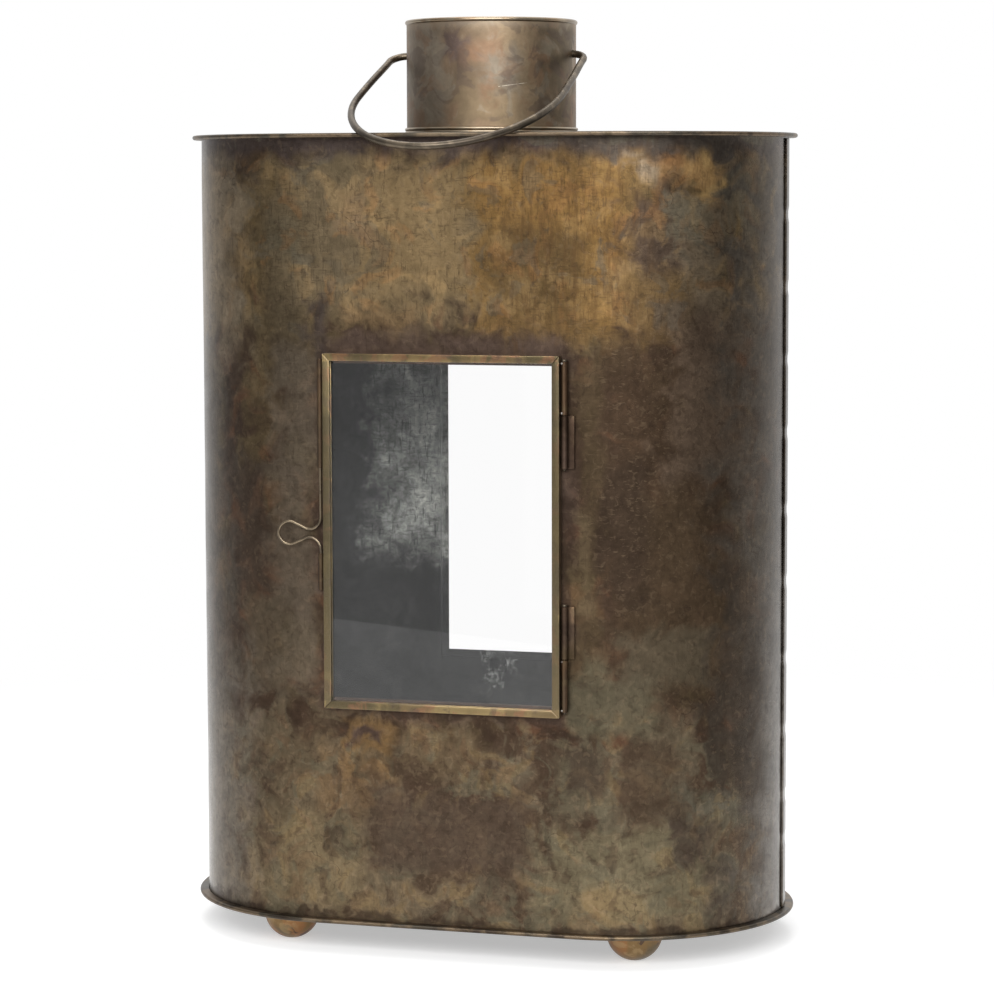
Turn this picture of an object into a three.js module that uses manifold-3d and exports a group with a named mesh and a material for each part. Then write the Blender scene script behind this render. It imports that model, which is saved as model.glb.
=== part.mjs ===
// A flask-shaped lantern in folded brass sheet: a case with a glazed door in front and a window behind,
// a round chimney with a wire bail, and four domed feet. Millimetres, +Z up, the door faces -Y.
// It stands on Z = 0, and the origin is under the middle of the box round the whole lantern.
import * as THREE from "three";
import { mergeVertices } from "three/addons/utils/BufferGeometryUtils.js";
import Module from "manifold-3d";

// Clearances
const JOINT_GAP = 0.3; // soldered, folded and seated joints
const PIVOT_GAP = 0.3; // round a wire or pin that turns
const SWING_GAP = 0.4; // between hinge knuckles on one pin

// Case
const SHEET = 0.6;
const CASE_WIDTH = 325;
const CASE_DEPTH = 180;
const CASE_HEIGHT = 420; // over both folded rims
const RIM_OVERHANG = 5;
const SEAM_WIDTH = 8; // lock seam at the +X end
const SEAM_THICKNESS = 1.2;
const SEAM_END_GAP = 0.5;

// Feet
const FOOT_RADIUS = 15;
const FOOT_HEIGHT = 16; // floor to the underside of the bottom plate
const FOOT_FLAT_RADIUS = 4.2;
const FOOT_X = 96.5;
const FOOT_Y = 60.8;
const RIVET_RADIUS = 1.5;
const RIVET_DEPTH = 8; // into the foot
const RIVET_HEAD_RADIUS = 3.5;
const RIVET_HEAD_HEIGHT = 1.6;

// Chimney
const CHIMNEY_RADIUS = 46;
const CHIMNEY_HEIGHT = 61.5; // above the top plate
const CHIMNEY_FLANGE = 4; // turned out under the top plate
const BEAD_RADIUS = 1.25;
const BEAD_PROUD = 0.8;
const BEAD_SEAT = 0.7; // how far the tube's edge enters the bead
const FOOT_RING_RIB = 1.7; // height of one of the two ribs
const FOOT_RING_PROUD = 1.1;

// Bail
const BAIL_WIRE_RADIUS = 2.1;
const BAIL_PIVOT_HEIGHT = 43; // above the top plate
const BAIL_ARM_X = 55.5;
const BAIL_HALF_WIDTH = 58;
const BAIL_ARM_LENGTH = 60;
const BAIL_LENGTH = 129;
const BAIL_BEND = 5.5;
const BAIL_END_INSIDE = 5; // past the chimney's inner wall
const BAIL_HEAD_RADIUS = 3.2;
const BAIL_HEAD_THICKNESS = 1.2;

// Openings in the case wall, heights from the underside of the case
const FRONT_OPENING_WIDTH = 123;
const FRONT_OPENING_BOTTOM = 122;
const FRONT_OPENING_TOP = 299.5;
const REAR_OPENING_WIDTH = 107;
const REAR_OPENING_BOTTOM = 124;
const REAR_OPENING_TOP = 298;

// Door
const DOOR_LAP = 3.5; // frame beyond the opening, at the sides
const DOOR_LAP_BELOW = 5.6;
const DOOR_LAP_ABOVE = 5.4;
const CHANNEL_FACE = 4;
const CHANNEL_SHEET = 0.8;
const GLASS_THICKNESS = 2.8;

// Hinges on the door's +X side, heights from the door's bottom edge
const HINGE_TUBE_RADIUS = 1.7;
const HINGE_PIN_RADIUS = 0.8;
const HINGE_KNUCKLE = 27.5;
const HINGE_END_MARGIN = 3; // door's corner to its nearest knuckle end
const HINGE_LEAF_X = 5; // leaf beyond the hinge axis
const HINGE_LEAF_THICKNESS = 1.2;
const PIN_HEAD_RADIUS = 1.6;
const PIN_HEAD_HEIGHT = 1;
const PIN_TAIL = 0.8;

// Wire pull on the door's -X side, heights from the door's bottom edge
const PULL_WIRE_RADIUS = 0.75;
const PULL_TUBE_RADIUS = 1.5;
const PULL_HEIGHT = 93;
const PULL_REACH = 23.8;
const PULL_LOOP_WIDTH = 12.2;
const PULL_NECK_WIDTH = 4.4;
const PULL_SHOULDER = 9; // from the loop's middle to where each leg runs upright
const PULL_UPPER_TUBE_BOTTOM = 128;
const PULL_UPPER_TUBE_TOP = 185.5;
const PULL_LOWER_TUBE_BOTTOM = 62.8;
const PULL_LOWER_TUBE_TOP = 82.5;
const PULL_LEG_IN_TUBE = 16;

// Rear window
const REAR_GLASS_LAP = 4;
const REAR_GLASS_GAP = 0.4;
const CLIP_WIDTH = 10;
const CLIP_PAD = 8;
const CLIP_FINGER = 4;
const CLIP_INSET = 30; // from the sides of the rear opening

// Worked out from the sizes above
const CASE_BOTTOM = FOOT_HEIGHT;
const CASE_TOP = CASE_BOTTOM + CASE_HEIGHT;
const RIM_HEIGHT = 3 * SHEET + 2 * JOINT_GAP;
const WALL_FRONT = -CASE_DEPTH / 2;
const WALL_BACK_INSIDE = CASE_DEPTH / 2 - SHEET;
const BAIL_PIVOT_Z = CASE_TOP + BAIL_PIVOT_HEIGHT;
const DOOR_HALF_WIDTH = FRONT_OPENING_WIDTH / 2 + DOOR_LAP;
const DOOR_BOTTOM = CASE_BOTTOM + FRONT_OPENING_BOTTOM - DOOR_LAP_BELOW;
const DOOR_TOP = CASE_BOTTOM + FRONT_OPENING_TOP + DOOR_LAP_ABOVE;
const DOOR_THICKNESS = 2 * CHANNEL_SHEET + GLASS_THICKNESS + 2 * JOINT_GAP;
const DOOR_BACK = WALL_FRONT - JOINT_GAP;
const DOOR_FRONT = DOOR_BACK - DOOR_THICKNESS;
const DOOR_MIDDLE = (DOOR_FRONT + DOOR_BACK) / 2;
const HINGE_X = DOOR_HALF_WIDTH + JOINT_GAP + HINGE_TUBE_RADIUS;
const PULL_X = -(DOOR_HALF_WIDTH + JOINT_GAP + PULL_TUBE_RADIUS);

// The bail lies forward on the top plate's front edge: this is its slope below the horizontal.
const RIM_REACH = CASE_DEPTH / 2 + RIM_OVERHANG;
const BAIL_REST_ANGLE =
  Math.atan2(BAIL_PIVOT_HEIGHT, RIM_REACH) -
  Math.asin((BAIL_WIRE_RADIUS + JOINT_GAP) / Math.hypot(BAIL_PIVOT_HEIGHT, RIM_REACH));
const BAIL_FRONT = -(BAIL_LENGTH * Math.cos(BAIL_REST_ANGLE) + BAIL_WIRE_RADIUS);
const BOX_MIDDLE_Y = (BAIL_FRONT + RIM_REACH) / 2;

// Fineness of the round forms
const CASE_STEPS = 12; // to a quarter turn of the case's ends
const ROUND_STEPS = 56;
const FOOT_STEPS = 28;
const SMALL_STEPS = 16;
const BEAD_SIDES = 8;
const RIB_STEPS = 3;
const DOME_STEPS = 7;
const RIVET_STEPS = 4;
const WIRE_SIDES = 8;
const BAIL_STEPS = 110;
const PULL_STEPS = 90;

const wasm = await Module();
wasm.setup();

// Finishes
function metal(color, roughness) {
  return new THREE.MeshStandardMaterial({ color, roughness, metalness: 0.9 });
}
const caseBrass = metal(0x6b5638, 0.5);
const rimBrass = metal(0x584a3a, 0.45);
const chimneyBrass = metal(0x75624c, 0.42);
const channelBrass = metal(0x8a7040, 0.38);
const footBrass = metal(0x80683c, 0.45);
const darkWire = metal(0x5a544b, 0.4);
const paneGlass = new THREE.MeshStandardMaterial({
  color: 0xdfe8e6,
  roughness: 0.05,
  metalness: 0,
  transparent: true,
  opacity: 0.25,
});

// Solids: a geometry becomes a closed solid for a join or a cut, and a geometry again afterwards
function toSolid(geometry) {
  const bare = geometry.clone();
  bare.deleteAttribute("normal");
  bare.deleteAttribute("uv");
  const merged = mergeVertices(bare, 1e-4);
  const mesh = new wasm.Mesh({
    numProp: 3,
    vertProperties: merged.attributes.position.array,
    triVerts: new Uint32Array(merged.index.array),
  });
  return new wasm.Manifold(mesh);
}

function toGeometry(solid) {
  const mesh = solid.getMesh();
  const geometry = new THREE.BufferGeometry();
  geometry.setAttribute("position", new THREE.BufferAttribute(mesh.vertProperties, 3));
  geometry.setIndex(new THREE.BufferAttribute(mesh.triVerts, 1));
  geometry.computeVertexNormals();
  return geometry;
}

function join(first, ...others) {
  return toGeometry(others.reduce((sum, other) => sum.add(toSolid(other)), toSolid(first)));
}

function cut(first, ...tools) {
  return toGeometry(tools.reduce((rest, tool) => rest.subtract(toSolid(tool)), toSolid(first)));
}

function common(first, second) {
  return toGeometry(toSolid(first).intersect(toSolid(second)));
}

// Outlines
function flask(offset) {
  const straight = (CASE_WIDTH - CASE_DEPTH) / 2;
  const radius = CASE_DEPTH / 2 + offset;
  const outline = new THREE.Shape();
  outline.absarc(straight, 0, radius, -Math.PI / 2, Math.PI / 2);
  outline.absarc(-straight, 0, radius, Math.PI / 2, (3 * Math.PI) / 2);
  outline.closePath();
  return outline;
}

function rectangle(left, right, bottom, top) {
  return new THREE.Shape([
    new THREE.Vector2(left, bottom),
    new THREE.Vector2(right, bottom),
    new THREE.Vector2(right, top),
    new THREE.Vector2(left, top),
  ]);
}

function circle(radius) {
  return new THREE.Shape().absarc(0, 0, radius, 0, 2 * Math.PI);
}

function withHole(outline, hole) {
  outline.holes.push(hole);
  return outline;
}

// Upright extrusion between two heights
function upright(outline, bottom, top, curveSegments = CASE_STEPS) {
  const options = { depth: top - bottom, bevelEnabled: false, curveSegments };
  return new THREE.ExtrudeGeometry(outline, options).translate(0, 0, bottom);
}

// Extrusion of an outline drawn in X and Z, from a front to a back plane
function through(outline, front, back) {
  const options = { depth: back - front, bevelEnabled: false };
  return new THREE.ExtrudeGeometry(outline, options).rotateX(Math.PI / 2).translate(0, back, 0);
}

function flaskBand(outer, inner, bottom, top) {
  return upright(withHole(flask(outer), flask(inner)), bottom, top);
}

function tube(outerRadius, boreRadius, bottom, top) {
  const ring = withHole(circle(outerRadius), circle(boreRadius));
  return upright(ring, bottom, top, SMALL_STEPS / 2);
}

function rod(radius, bottom, top) {
  return upright(circle(radius), bottom, top, SMALL_STEPS / 2);
}

function turned(points, steps = ROUND_STEPS) {
  const profile = points.map(([radius, height]) => new THREE.Vector2(radius, height));
  return new THREE.LatheGeometry(profile, steps).rotateX(Math.PI / 2);
}

function wire(path, radius, steps) {
  const section = new THREE.Shape();
  for (let side = 0; side < WIRE_SIDES; side++) {
    const angle = (2 * Math.PI * side) / WIRE_SIDES;
    const point = [radius * Math.cos(angle), radius * Math.sin(angle)];
    if (side === 0) section.moveTo(...point);
    else section.lineTo(...point);
  }
  section.closePath();
  return new THREE.ExtrudeGeometry(section, { steps, extrudePath: path, bevelEnabled: false });
}

// Scene graph
const lantern = new THREE.Group();
lantern.position.y = -BOX_MIDDLE_Y;

function place(name, geometry, material) {
  const mesh = new THREE.Mesh(geometry, material);
  mesh.name = name;
  lantern.add(mesh);
  return mesh;
}

// Case wall: a flask-shaped band with a flange top and bottom, which the plates are folded round
function caseWall() {
  const flangeEdge = RIM_OVERHANG - SHEET - JOINT_GAP;
  const lowerFlange = CASE_BOTTOM + SHEET + JOINT_GAP;
  const upperFlange = CASE_TOP - 2 * SHEET - JOINT_GAP;
  const band = flaskBand(0, -SHEET, lowerFlange, upperFlange + SHEET);
  const flanges = [lowerFlange, upperFlange].map((bottom) =>
    flaskBand(flangeEdge, -SHEET, bottom, bottom + SHEET),
  );
  const wall = join(band, ...flanges, lockSeam());
  const past = 10;
  const front = rectangle(
    -FRONT_OPENING_WIDTH / 2,
    FRONT_OPENING_WIDTH / 2,
    CASE_BOTTOM + FRONT_OPENING_BOTTOM,
    CASE_BOTTOM + FRONT_OPENING_TOP,
  );
  const rear = rectangle(
    -REAR_OPENING_WIDTH / 2,
    REAR_OPENING_WIDTH / 2,
    CASE_BOTTOM + REAR_OPENING_BOTTOM,
    CASE_BOTTOM + REAR_OPENING_TOP,
  );
  return cut(
    wall,
    through(front, WALL_FRONT - past, WALL_FRONT + past),
    through(rear, -WALL_FRONT - past, -WALL_FRONT + past),
  );
}

// The lock seam is a flat fold on the outside of the +X end, running back from its middle.
function lockSeam() {
  const radius = CASE_DEPTH / 2;
  const middle = (CASE_WIDTH - CASE_DEPTH) / 2;
  const sweep = SEAM_WIDTH / radius;
  const fold = new THREE.Shape();
  fold.absarc(middle, 0, radius + SEAM_THICKNESS, 0, sweep);
  fold.absarc(middle, 0, radius - SHEET / 2, sweep, 0, true);
  fold.closePath();
  return upright(
    fold,
    CASE_BOTTOM + RIM_HEIGHT + SEAM_END_GAP,
    CASE_TOP - RIM_HEIGHT - SEAM_END_GAP,
    3,
  );
}

// End plate: flat sheet whose edge is folded round the wall's flange, drawn with the sheet underneath
function endPlate(...holes) {
  const sheet = upright(flask(RIM_OVERHANG), 0, SHEET);
  const edge = flaskBand(RIM_OVERHANG, RIM_OVERHANG - SHEET, 0, RIM_HEIGHT);
  const lip = flaskBand(RIM_OVERHANG, JOINT_GAP, RIM_HEIGHT - SHEET, RIM_HEIGHT);
  return cut(join(sheet, edge, lip), ...holes);
}

function cornerPlaces() {
  const sides = { left: -FOOT_X, right: FOOT_X };
  const ends = { front: -FOOT_Y, rear: FOOT_Y };
  const places = [];
  for (const [end, y] of Object.entries(ends))
    for (const [side, x] of Object.entries(sides)) places.push({ name: end + "_" + side, x, y });
  return places;
}

function buildCase() {
  place("case_wall", caseWall(), caseBrass);

  const chimneyHole = upright(
    circle(CHIMNEY_RADIUS + JOINT_GAP),
    -RIM_HEIGHT,
    RIM_HEIGHT,
    ROUND_STEPS / 2,
  );
  const top = place("top_plate", endPlate(chimneyHole), rimBrass);
  top.rotation.x = Math.PI;
  top.position.z = CASE_TOP;

  const rivetHoles = cornerPlaces().map(({ x, y }) =>
    rod(RIVET_RADIUS + JOINT_GAP, -RIM_HEIGHT, RIM_HEIGHT).translate(x, y, 0),
  );
  const bottom = place("bottom_plate", endPlate(...rivetHoles), rimBrass);
  bottom.position.z = CASE_BOTTOM;
}

// Domed foot with a flat to stand on and a blind bore for its rivet
function foot() {
  const centre = Math.sqrt(FOOT_RADIUS ** 2 - FOOT_FLAT_RADIUS ** 2);
  const top = FOOT_HEIGHT - JOINT_GAP;
  const bore = RIVET_RADIUS + JOINT_GAP;
  const from = -Math.acos(FOOT_FLAT_RADIUS / FOOT_RADIUS);
  const to = Math.asin((top - centre) / FOOT_RADIUS);
  const points = [[0, 0]];
  for (let step = 0; step <= DOME_STEPS; step++) {
    const angle = from + ((to - from) * step) / DOME_STEPS;
    points.push([FOOT_RADIUS * Math.cos(angle), centre + FOOT_RADIUS * Math.sin(angle)]);
  }
  points.push([bore, top], [bore, top - RIVET_DEPTH - JOINT_GAP], [0, top - RIVET_DEPTH - JOINT_GAP]);
  return turned(points, FOOT_STEPS);
}

// Rivet with a low round head inside the case
function rivet() {
  const underHead = CASE_BOTTOM + SHEET + JOINT_GAP;
  const points = [
    [0, FOOT_HEIGHT - JOINT_GAP - RIVET_DEPTH],
    [RIVET_RADIUS, FOOT_HEIGHT - JOINT_GAP - RIVET_DEPTH],
    [RIVET_RADIUS, underHead],
  ];
  for (let step = 0; step <= RIVET_STEPS; step++) {
    const angle = (Math.PI / 2) * (step / RIVET_STEPS);
    const radius = step === RIVET_STEPS ? 0 : RIVET_HEAD_RADIUS * Math.cos(angle);
    points.push([radius, underHead + RIVET_HEAD_HEIGHT * Math.sin(angle)]);
  }
  return turned(points, SMALL_STEPS);
}

function buildFeet() {
  for (const { name, x, y } of cornerPlaces()) {
    place("foot_" + name, foot(), footBrass).position.set(x, y, 0);
    place("foot_rivet_" + name, rivet(), footBrass).position.set(x, y, 0);
  }
}

// Chimney tube, put in from below: its foot is turned out under the top plate
function chimneyTube() {
  const inner = CHIMNEY_RADIUS - SHEET;
  const flangeTop = CASE_TOP - SHEET - JOINT_GAP;
  const edge = CASE_TOP + CHIMNEY_HEIGHT - 2 * BEAD_RADIUS + BEAD_SEAT;
  const body = turned([
    [inner, flangeTop - SHEET],
    [CHIMNEY_RADIUS + CHIMNEY_FLANGE, flangeTop - SHEET],
    [CHIMNEY_RADIUS + CHIMNEY_FLANGE, flangeTop],
    [CHIMNEY_RADIUS, flangeTop],
    [CHIMNEY_RADIUS, edge],
    [inner, edge],
    [inner, flangeTop - SHEET],
  ]);
  const pivotHoles = rod(BAIL_WIRE_RADIUS + PIVOT_GAP, -2 * CHIMNEY_RADIUS, 2 * CHIMNEY_RADIUS)
    .rotateY(Math.PI / 2)
    .translate(0, 0, BAIL_PIVOT_Z);
  return cut(body, pivotHoles);
}

// Rolled bead with a groove under it for the tube's edge
function chimneyBead() {
  const middle = CHIMNEY_RADIUS + BEAD_PROUD - BEAD_RADIUS;
  const height = CASE_TOP + CHIMNEY_HEIGHT - BEAD_RADIUS;
  const bead = new THREE.TorusGeometry(middle, BEAD_RADIUS, BEAD_SIDES, ROUND_STEPS);
  bead.translate(0, 0, height);
  const grooveTop = height - BEAD_RADIUS + BEAD_SEAT + JOINT_GAP;
  const groove = turned([
    [CHIMNEY_RADIUS - SHEET - JOINT_GAP, height - 2 * BEAD_RADIUS],
    [CHIMNEY_RADIUS + JOINT_GAP, height - 2 * BEAD_RADIUS],
    [CHIMNEY_RADIUS + JOINT_GAP, grooveTop],
    [CHIMNEY_RADIUS - SHEET - JOINT_GAP, grooveTop],
    [CHIMNEY_RADIUS - SHEET - JOINT_GAP, height - 2 * BEAD_RADIUS],
  ]);
  return cut(bead, groove);
}

// Ring of two half-round ribs round the foot of the chimney
function chimneyFootRing() {
  const inner = CHIMNEY_RADIUS + JOINT_GAP;
  const bottom = CASE_TOP + JOINT_GAP;
  const outer = CHIMNEY_RADIUS + FOOT_RING_PROUD;
  const points = [[inner, bottom]];
  for (const rib of [0, 1])
    for (let step = 0; step <= RIB_STEPS; step++) {
      const angle = Math.PI * (step / RIB_STEPS);
      const radius = outer - FOOT_RING_RIB / 2 + (FOOT_RING_RIB / 2) * Math.sin(angle);
      const height = bottom + FOOT_RING_RIB * (rib + (1 - Math.cos(angle)) / 2);
      if (rib === 0 || step > 0) points.push([radius, height]);
    }
  points.push([inner, bottom + 2 * FOOT_RING_RIB], [inner, bottom]);
  return turned(points);
}

function buildChimney() {
  place("chimney_tube", chimneyTube(), chimneyBrass);
  place("chimney_bead", chimneyBead(), chimneyBrass);
  place("chimney_foot_ring", chimneyFootRing(), chimneyBrass);
}

// Bail, drawn lying level: its ends pass through the chimney, and its loop reaches towards -Y
function bailPath() {
  const end = CHIMNEY_RADIUS - SHEET - BAIL_END_INSIDE;
  const at = (x, reach) => new THREE.Vector3(x, -reach, 0);
  const arc = 0.5523; // handle length of a Bezier quarter ellipse
  const bow = BAIL_LENGTH - BAIL_ARM_LENGTH;
  const half = [
    new THREE.LineCurve3(at(end, 0), at(BAIL_ARM_X - BAIL_BEND, 0)),
    new THREE.QuadraticBezierCurve3(
      at(BAIL_ARM_X - BAIL_BEND, 0),
      at(BAIL_ARM_X, 0),
      at(BAIL_ARM_X, BAIL_BEND),
    ),
    new THREE.CubicBezierCurve3(
      at(BAIL_ARM_X, BAIL_BEND),
      at(BAIL_ARM_X, BAIL_ARM_LENGTH / 3),
      at(BAIL_HALF_WIDTH, BAIL_ARM_LENGTH / 2),
      at(BAIL_HALF_WIDTH, BAIL_ARM_LENGTH),
    ),
    new THREE.CubicBezierCurve3(
      at(BAIL_HALF_WIDTH, BAIL_ARM_LENGTH),
      at(BAIL_HALF_WIDTH, BAIL_ARM_LENGTH + arc * bow),
      at(arc * BAIL_HALF_WIDTH, BAIL_LENGTH),
      at(0, BAIL_LENGTH),
    ),
  ];
  const path = new THREE.CurvePath();
  for (const curve of half) path.add(curve);
  for (const curve of half.toReversed()) path.add(mirroredBack(curve));
  return path;
}

// The same Bezier curve or line on the -X side, run the other way
function mirroredBack(curve) {
  const names = ["v0", "v1", "v2", "v3"].filter((name) => curve[name]);
  const points = names.map((name) => new THREE.Vector3(-curve[name].x, curve[name].y, curve[name].z));
  return new curve.constructor(...points.toReversed());
}

function bail() {
  const end = CHIMNEY_RADIUS - SHEET - BAIL_END_INSIDE;
  const loop = wire(bailPath(), BAIL_WIRE_RADIUS, BAIL_STEPS);
  const heads = [end - BAIL_HEAD_THICKNESS / 2, -end - BAIL_HEAD_THICKNESS / 2].map((x) =>
    rod(BAIL_HEAD_RADIUS, 0, BAIL_HEAD_THICKNESS).rotateY(Math.PI / 2).translate(x, 0, 0),
  );
  return join(loop, ...heads);
}

function buildBail() {
  const mesh = place("bail_handle", bail(), darkWire);
  mesh.rotation.x = BAIL_REST_ANGLE;
  mesh.position.z = BAIL_PIVOT_Z;
}

// Door frame: a folded channel, mitred at the corners into four lengths
function doorFrameRing() {
  const outer = rectangle(-DOOR_HALF_WIDTH, DOOR_HALF_WIDTH, DOOR_BOTTOM, DOOR_TOP);
  const inside = (inset) =>
    rectangle(
      -DOOR_HALF_WIDTH + inset,
      DOOR_HALF_WIDTH - inset,
      DOOR_BOTTOM + inset,
      DOOR_TOP - inset,
    );
  const ring = through(withHole(outer, inside(CHANNEL_FACE)), DOOR_FRONT, DOOR_BACK);
  const slot = through(
    inside(CHANNEL_SHEET),
    DOOR_FRONT + CHANNEL_SHEET,
    DOOR_BACK - CHANNEL_SHEET,
  );
  return cut(ring, slot);
}

// The share of the frame that one length takes: a side of the door between its two mitres
function mitredLength(corner, along, inward, length) {
  const gap = JOINT_GAP / Math.SQRT2;
  const depth = 2 * CHANNEL_FACE;
  const point = (run, step) =>
    new THREE.Vector2(
      corner.x + along.x * run + inward.x * step,
      corner.y + along.y * run + inward.y * step,
    );
  const outline = new THREE.Shape([
    point(gap, 0),
    point(depth + gap, depth),
    point(length - depth - gap, depth),
    point(length - gap, 0),
  ]);
  const past = 1;
  return through(outline, DOOR_FRONT - past, DOOR_BACK + past);
}

function buildDoor() {
  const width = 2 * DOOR_HALF_WIDTH;
  const height = DOOR_TOP - DOOR_BOTTOM;
  const right = new THREE.Vector2(1, 0);
  const up = new THREE.Vector2(0, 1);
  const left = right.clone().negate();
  const down = up.clone().negate();
  const lowLeft = new THREE.Vector2(-DOOR_HALF_WIDTH, DOOR_BOTTOM);
  const lowRight = new THREE.Vector2(DOOR_HALF_WIDTH, DOOR_BOTTOM);
  const highLeft = new THREE.Vector2(-DOOR_HALF_WIDTH, DOOR_TOP);
  const lengths = {
    left: mitredLength(lowLeft, up, right, height),
    right: mitredLength(lowRight, up, left, height),
    bottom: mitredLength(lowLeft, right, up, width),
    top: mitredLength(highLeft, right, down, width),
  };
  const ring = doorFrameRing();
  for (const [side, length] of Object.entries(lengths))
    place("door_channel_" + side, common(ring, length), channelBrass);

  const inset = CHANNEL_SHEET + JOINT_GAP;
  const pane = rectangle(
    -DOOR_HALF_WIDTH + inset,
    DOOR_HALF_WIDTH - inset,
    DOOR_BOTTOM + inset,
    DOOR_TOP - inset,
  );
  place("door_glass", through(pane, DOOR_FRONT + inset, DOOR_BACK - inset), paneGlass);
}

// Hinges: at each end of the door's side, a door knuckle nearer the corner and a case knuckle nearer
// the middle share one headed pin.
function caseKnuckle(bottom) {
  const top = bottom + HINGE_KNUCKLE;
  const barrel = rod(HINGE_TUBE_RADIUS, bottom, top).translate(HINGE_X, DOOR_MIDDLE, 0);
  const leafBack = WALL_FRONT - JOINT_GAP;
  const leaf = upright(
    rectangle(HINGE_X, HINGE_X + HINGE_LEAF_X, leafBack - HINGE_LEAF_THICKNESS, leafBack),
    bottom,
    top,
  );
  const bore = rod(HINGE_PIN_RADIUS + PIVOT_GAP, bottom - 1, top + 1);
  return cut(join(barrel, leaf), bore.translate(HINGE_X, DOOR_MIDDLE, 0));
}

function hingePin(bottom, top) {
  const shank = rod(HINGE_PIN_RADIUS, bottom - PIN_TAIL, top + JOINT_GAP + PIN_HEAD_HEIGHT / 2);
  const head = rod(PIN_HEAD_RADIUS, top + JOINT_GAP, top + JOINT_GAP + PIN_HEAD_HEIGHT);
  return join(shank, head);
}

function buildHinges() {
  const lowDoor = DOOR_BOTTOM + HINGE_END_MARGIN;
  const lowCase = lowDoor + HINGE_KNUCKLE + SWING_GAP;
  const highDoor = DOOR_TOP - HINGE_END_MARGIN - HINGE_KNUCKLE;
  const highCase = highDoor - SWING_GAP - HINGE_KNUCKLE;
  const pairs = {
    lower: { door: lowDoor, onCase: lowCase },
    upper: { door: highDoor, onCase: highCase },
  };
  for (const [level, { door, onCase }] of Object.entries(pairs)) {
    const knuckle = tube(HINGE_TUBE_RADIUS, HINGE_PIN_RADIUS + PIVOT_GAP, door, door + HINGE_KNUCKLE);
    place("door_knuckle_" + level, knuckle, channelBrass).position.set(HINGE_X, DOOR_MIDDLE, 0);
    place("case_knuckle_" + level, caseKnuckle(onCase), channelBrass);
    const pin = hingePin(Math.min(door, onCase), Math.max(door, onCase) + HINGE_KNUCKLE);
    place("hinge_pin_" + level, pin, darkWire).position.set(HINGE_X, DOOR_MIDDLE, 0);
  }
}

// Wire pull: a teardrop loop whose two legs turn upright into tubes on the door's free side
function pullPath() {
  const wide = PULL_LOOP_WIDTH / 2;
  const neck = PULL_NECK_WIDTH / 2;
  const middle = DOOR_BOTTOM + PULL_HEIGHT;
  const upperLegTop = DOOR_BOTTOM + PULL_UPPER_TUBE_BOTTOM + PULL_LEG_IN_TUBE - middle;
  const lowerLegBottom = DOOR_BOTTOM + PULL_LOWER_TUBE_TOP - PULL_LEG_IN_TUBE - middle;
  // distance out from the pivot, and height above the loop's middle, from the leg round to the tip
  const half = [
    [0, PULL_SHOULDER],
    [0.1 * PULL_NECK_WIDTH, 0.72 * PULL_SHOULDER],
    [0.12 * PULL_REACH, 1.5 * neck],
    [0.27 * PULL_REACH, neck],
    [0.52 * PULL_REACH, 0.72 * wide],
    [0.75 * PULL_REACH, wide],
    [0.93 * PULL_REACH, 0.66 * wide],
  ];
  const upper = half.map(([out, height]) => new THREE.Vector3(-out, 0, height));
  const lower = half.toReversed().map(([out, height]) => new THREE.Vector3(-out, 0, -height));
  const points = [
    new THREE.Vector3(0, 0, upperLegTop),
    new THREE.Vector3(0, 0, (upperLegTop + PULL_SHOULDER) / 2),
    ...upper,
    new THREE.Vector3(-PULL_REACH, 0, 0),
    ...lower,
    new THREE.Vector3(0, 0, (lowerLegBottom - PULL_SHOULDER) / 2),
    new THREE.Vector3(0, 0, lowerLegBottom),
  ];
  return new THREE.CatmullRomCurve3(points, false, "centripetal");
}

function buildPull() {
  const bore = PULL_WIRE_RADIUS + PIVOT_GAP;
  const tubes = {
    upper: [PULL_UPPER_TUBE_BOTTOM, PULL_UPPER_TUBE_TOP],
    lower: [PULL_LOWER_TUBE_BOTTOM, PULL_LOWER_TUBE_TOP],
  };
  for (const [level, [bottom, top]] of Object.entries(tubes)) {
    const sleeve = tube(PULL_TUBE_RADIUS, bore, DOOR_BOTTOM + bottom, DOOR_BOTTOM + top);
    place("pull_tube_" + level, sleeve, channelBrass).position.set(PULL_X, DOOR_MIDDLE, 0);
  }
  const loop = wire(pullPath(), PULL_WIRE_RADIUS, PULL_STEPS);
  const mesh = place("pull_wire", loop, darkWire);
  mesh.position.set(PULL_X, DOOR_MIDDLE, DOOR_BOTTOM + PULL_HEIGHT);
}

// Rear window: a pane inside the back wall, held by bent clips soldered above and below it.
// A clip is drawn from the edge of the opening, with its pad on the wall and its finger over the pane.
function clip(side) {
  const padFront = WALL_BACK_INSIDE - JOINT_GAP - SHEET;
  const fingerBack = WALL_BACK_INSIDE - REAR_GLASS_GAP - GLASS_THICKNESS - JOINT_GAP;
  const riser = REAR_GLASS_LAP + JOINT_GAP;
  const outline = [
    [riser + CLIP_PAD, padFront],
    [riser + CLIP_PAD, padFront + SHEET],
    [riser, padFront + SHEET],
    [riser, fingerBack],
    [riser - CLIP_FINGER, fingerBack],
    [riser - CLIP_FINGER, fingerBack - SHEET],
    [riser + SHEET, fingerBack - SHEET],
    [riser + SHEET, padFront],
  ];
  const points = outline.map(([height, y]) => new THREE.Vector2(side * height, y));
  const bent = upright(new THREE.Shape(points), -CLIP_WIDTH / 2, CLIP_WIDTH / 2);
  return bent.rotateY(-Math.PI / 2);
}

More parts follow.
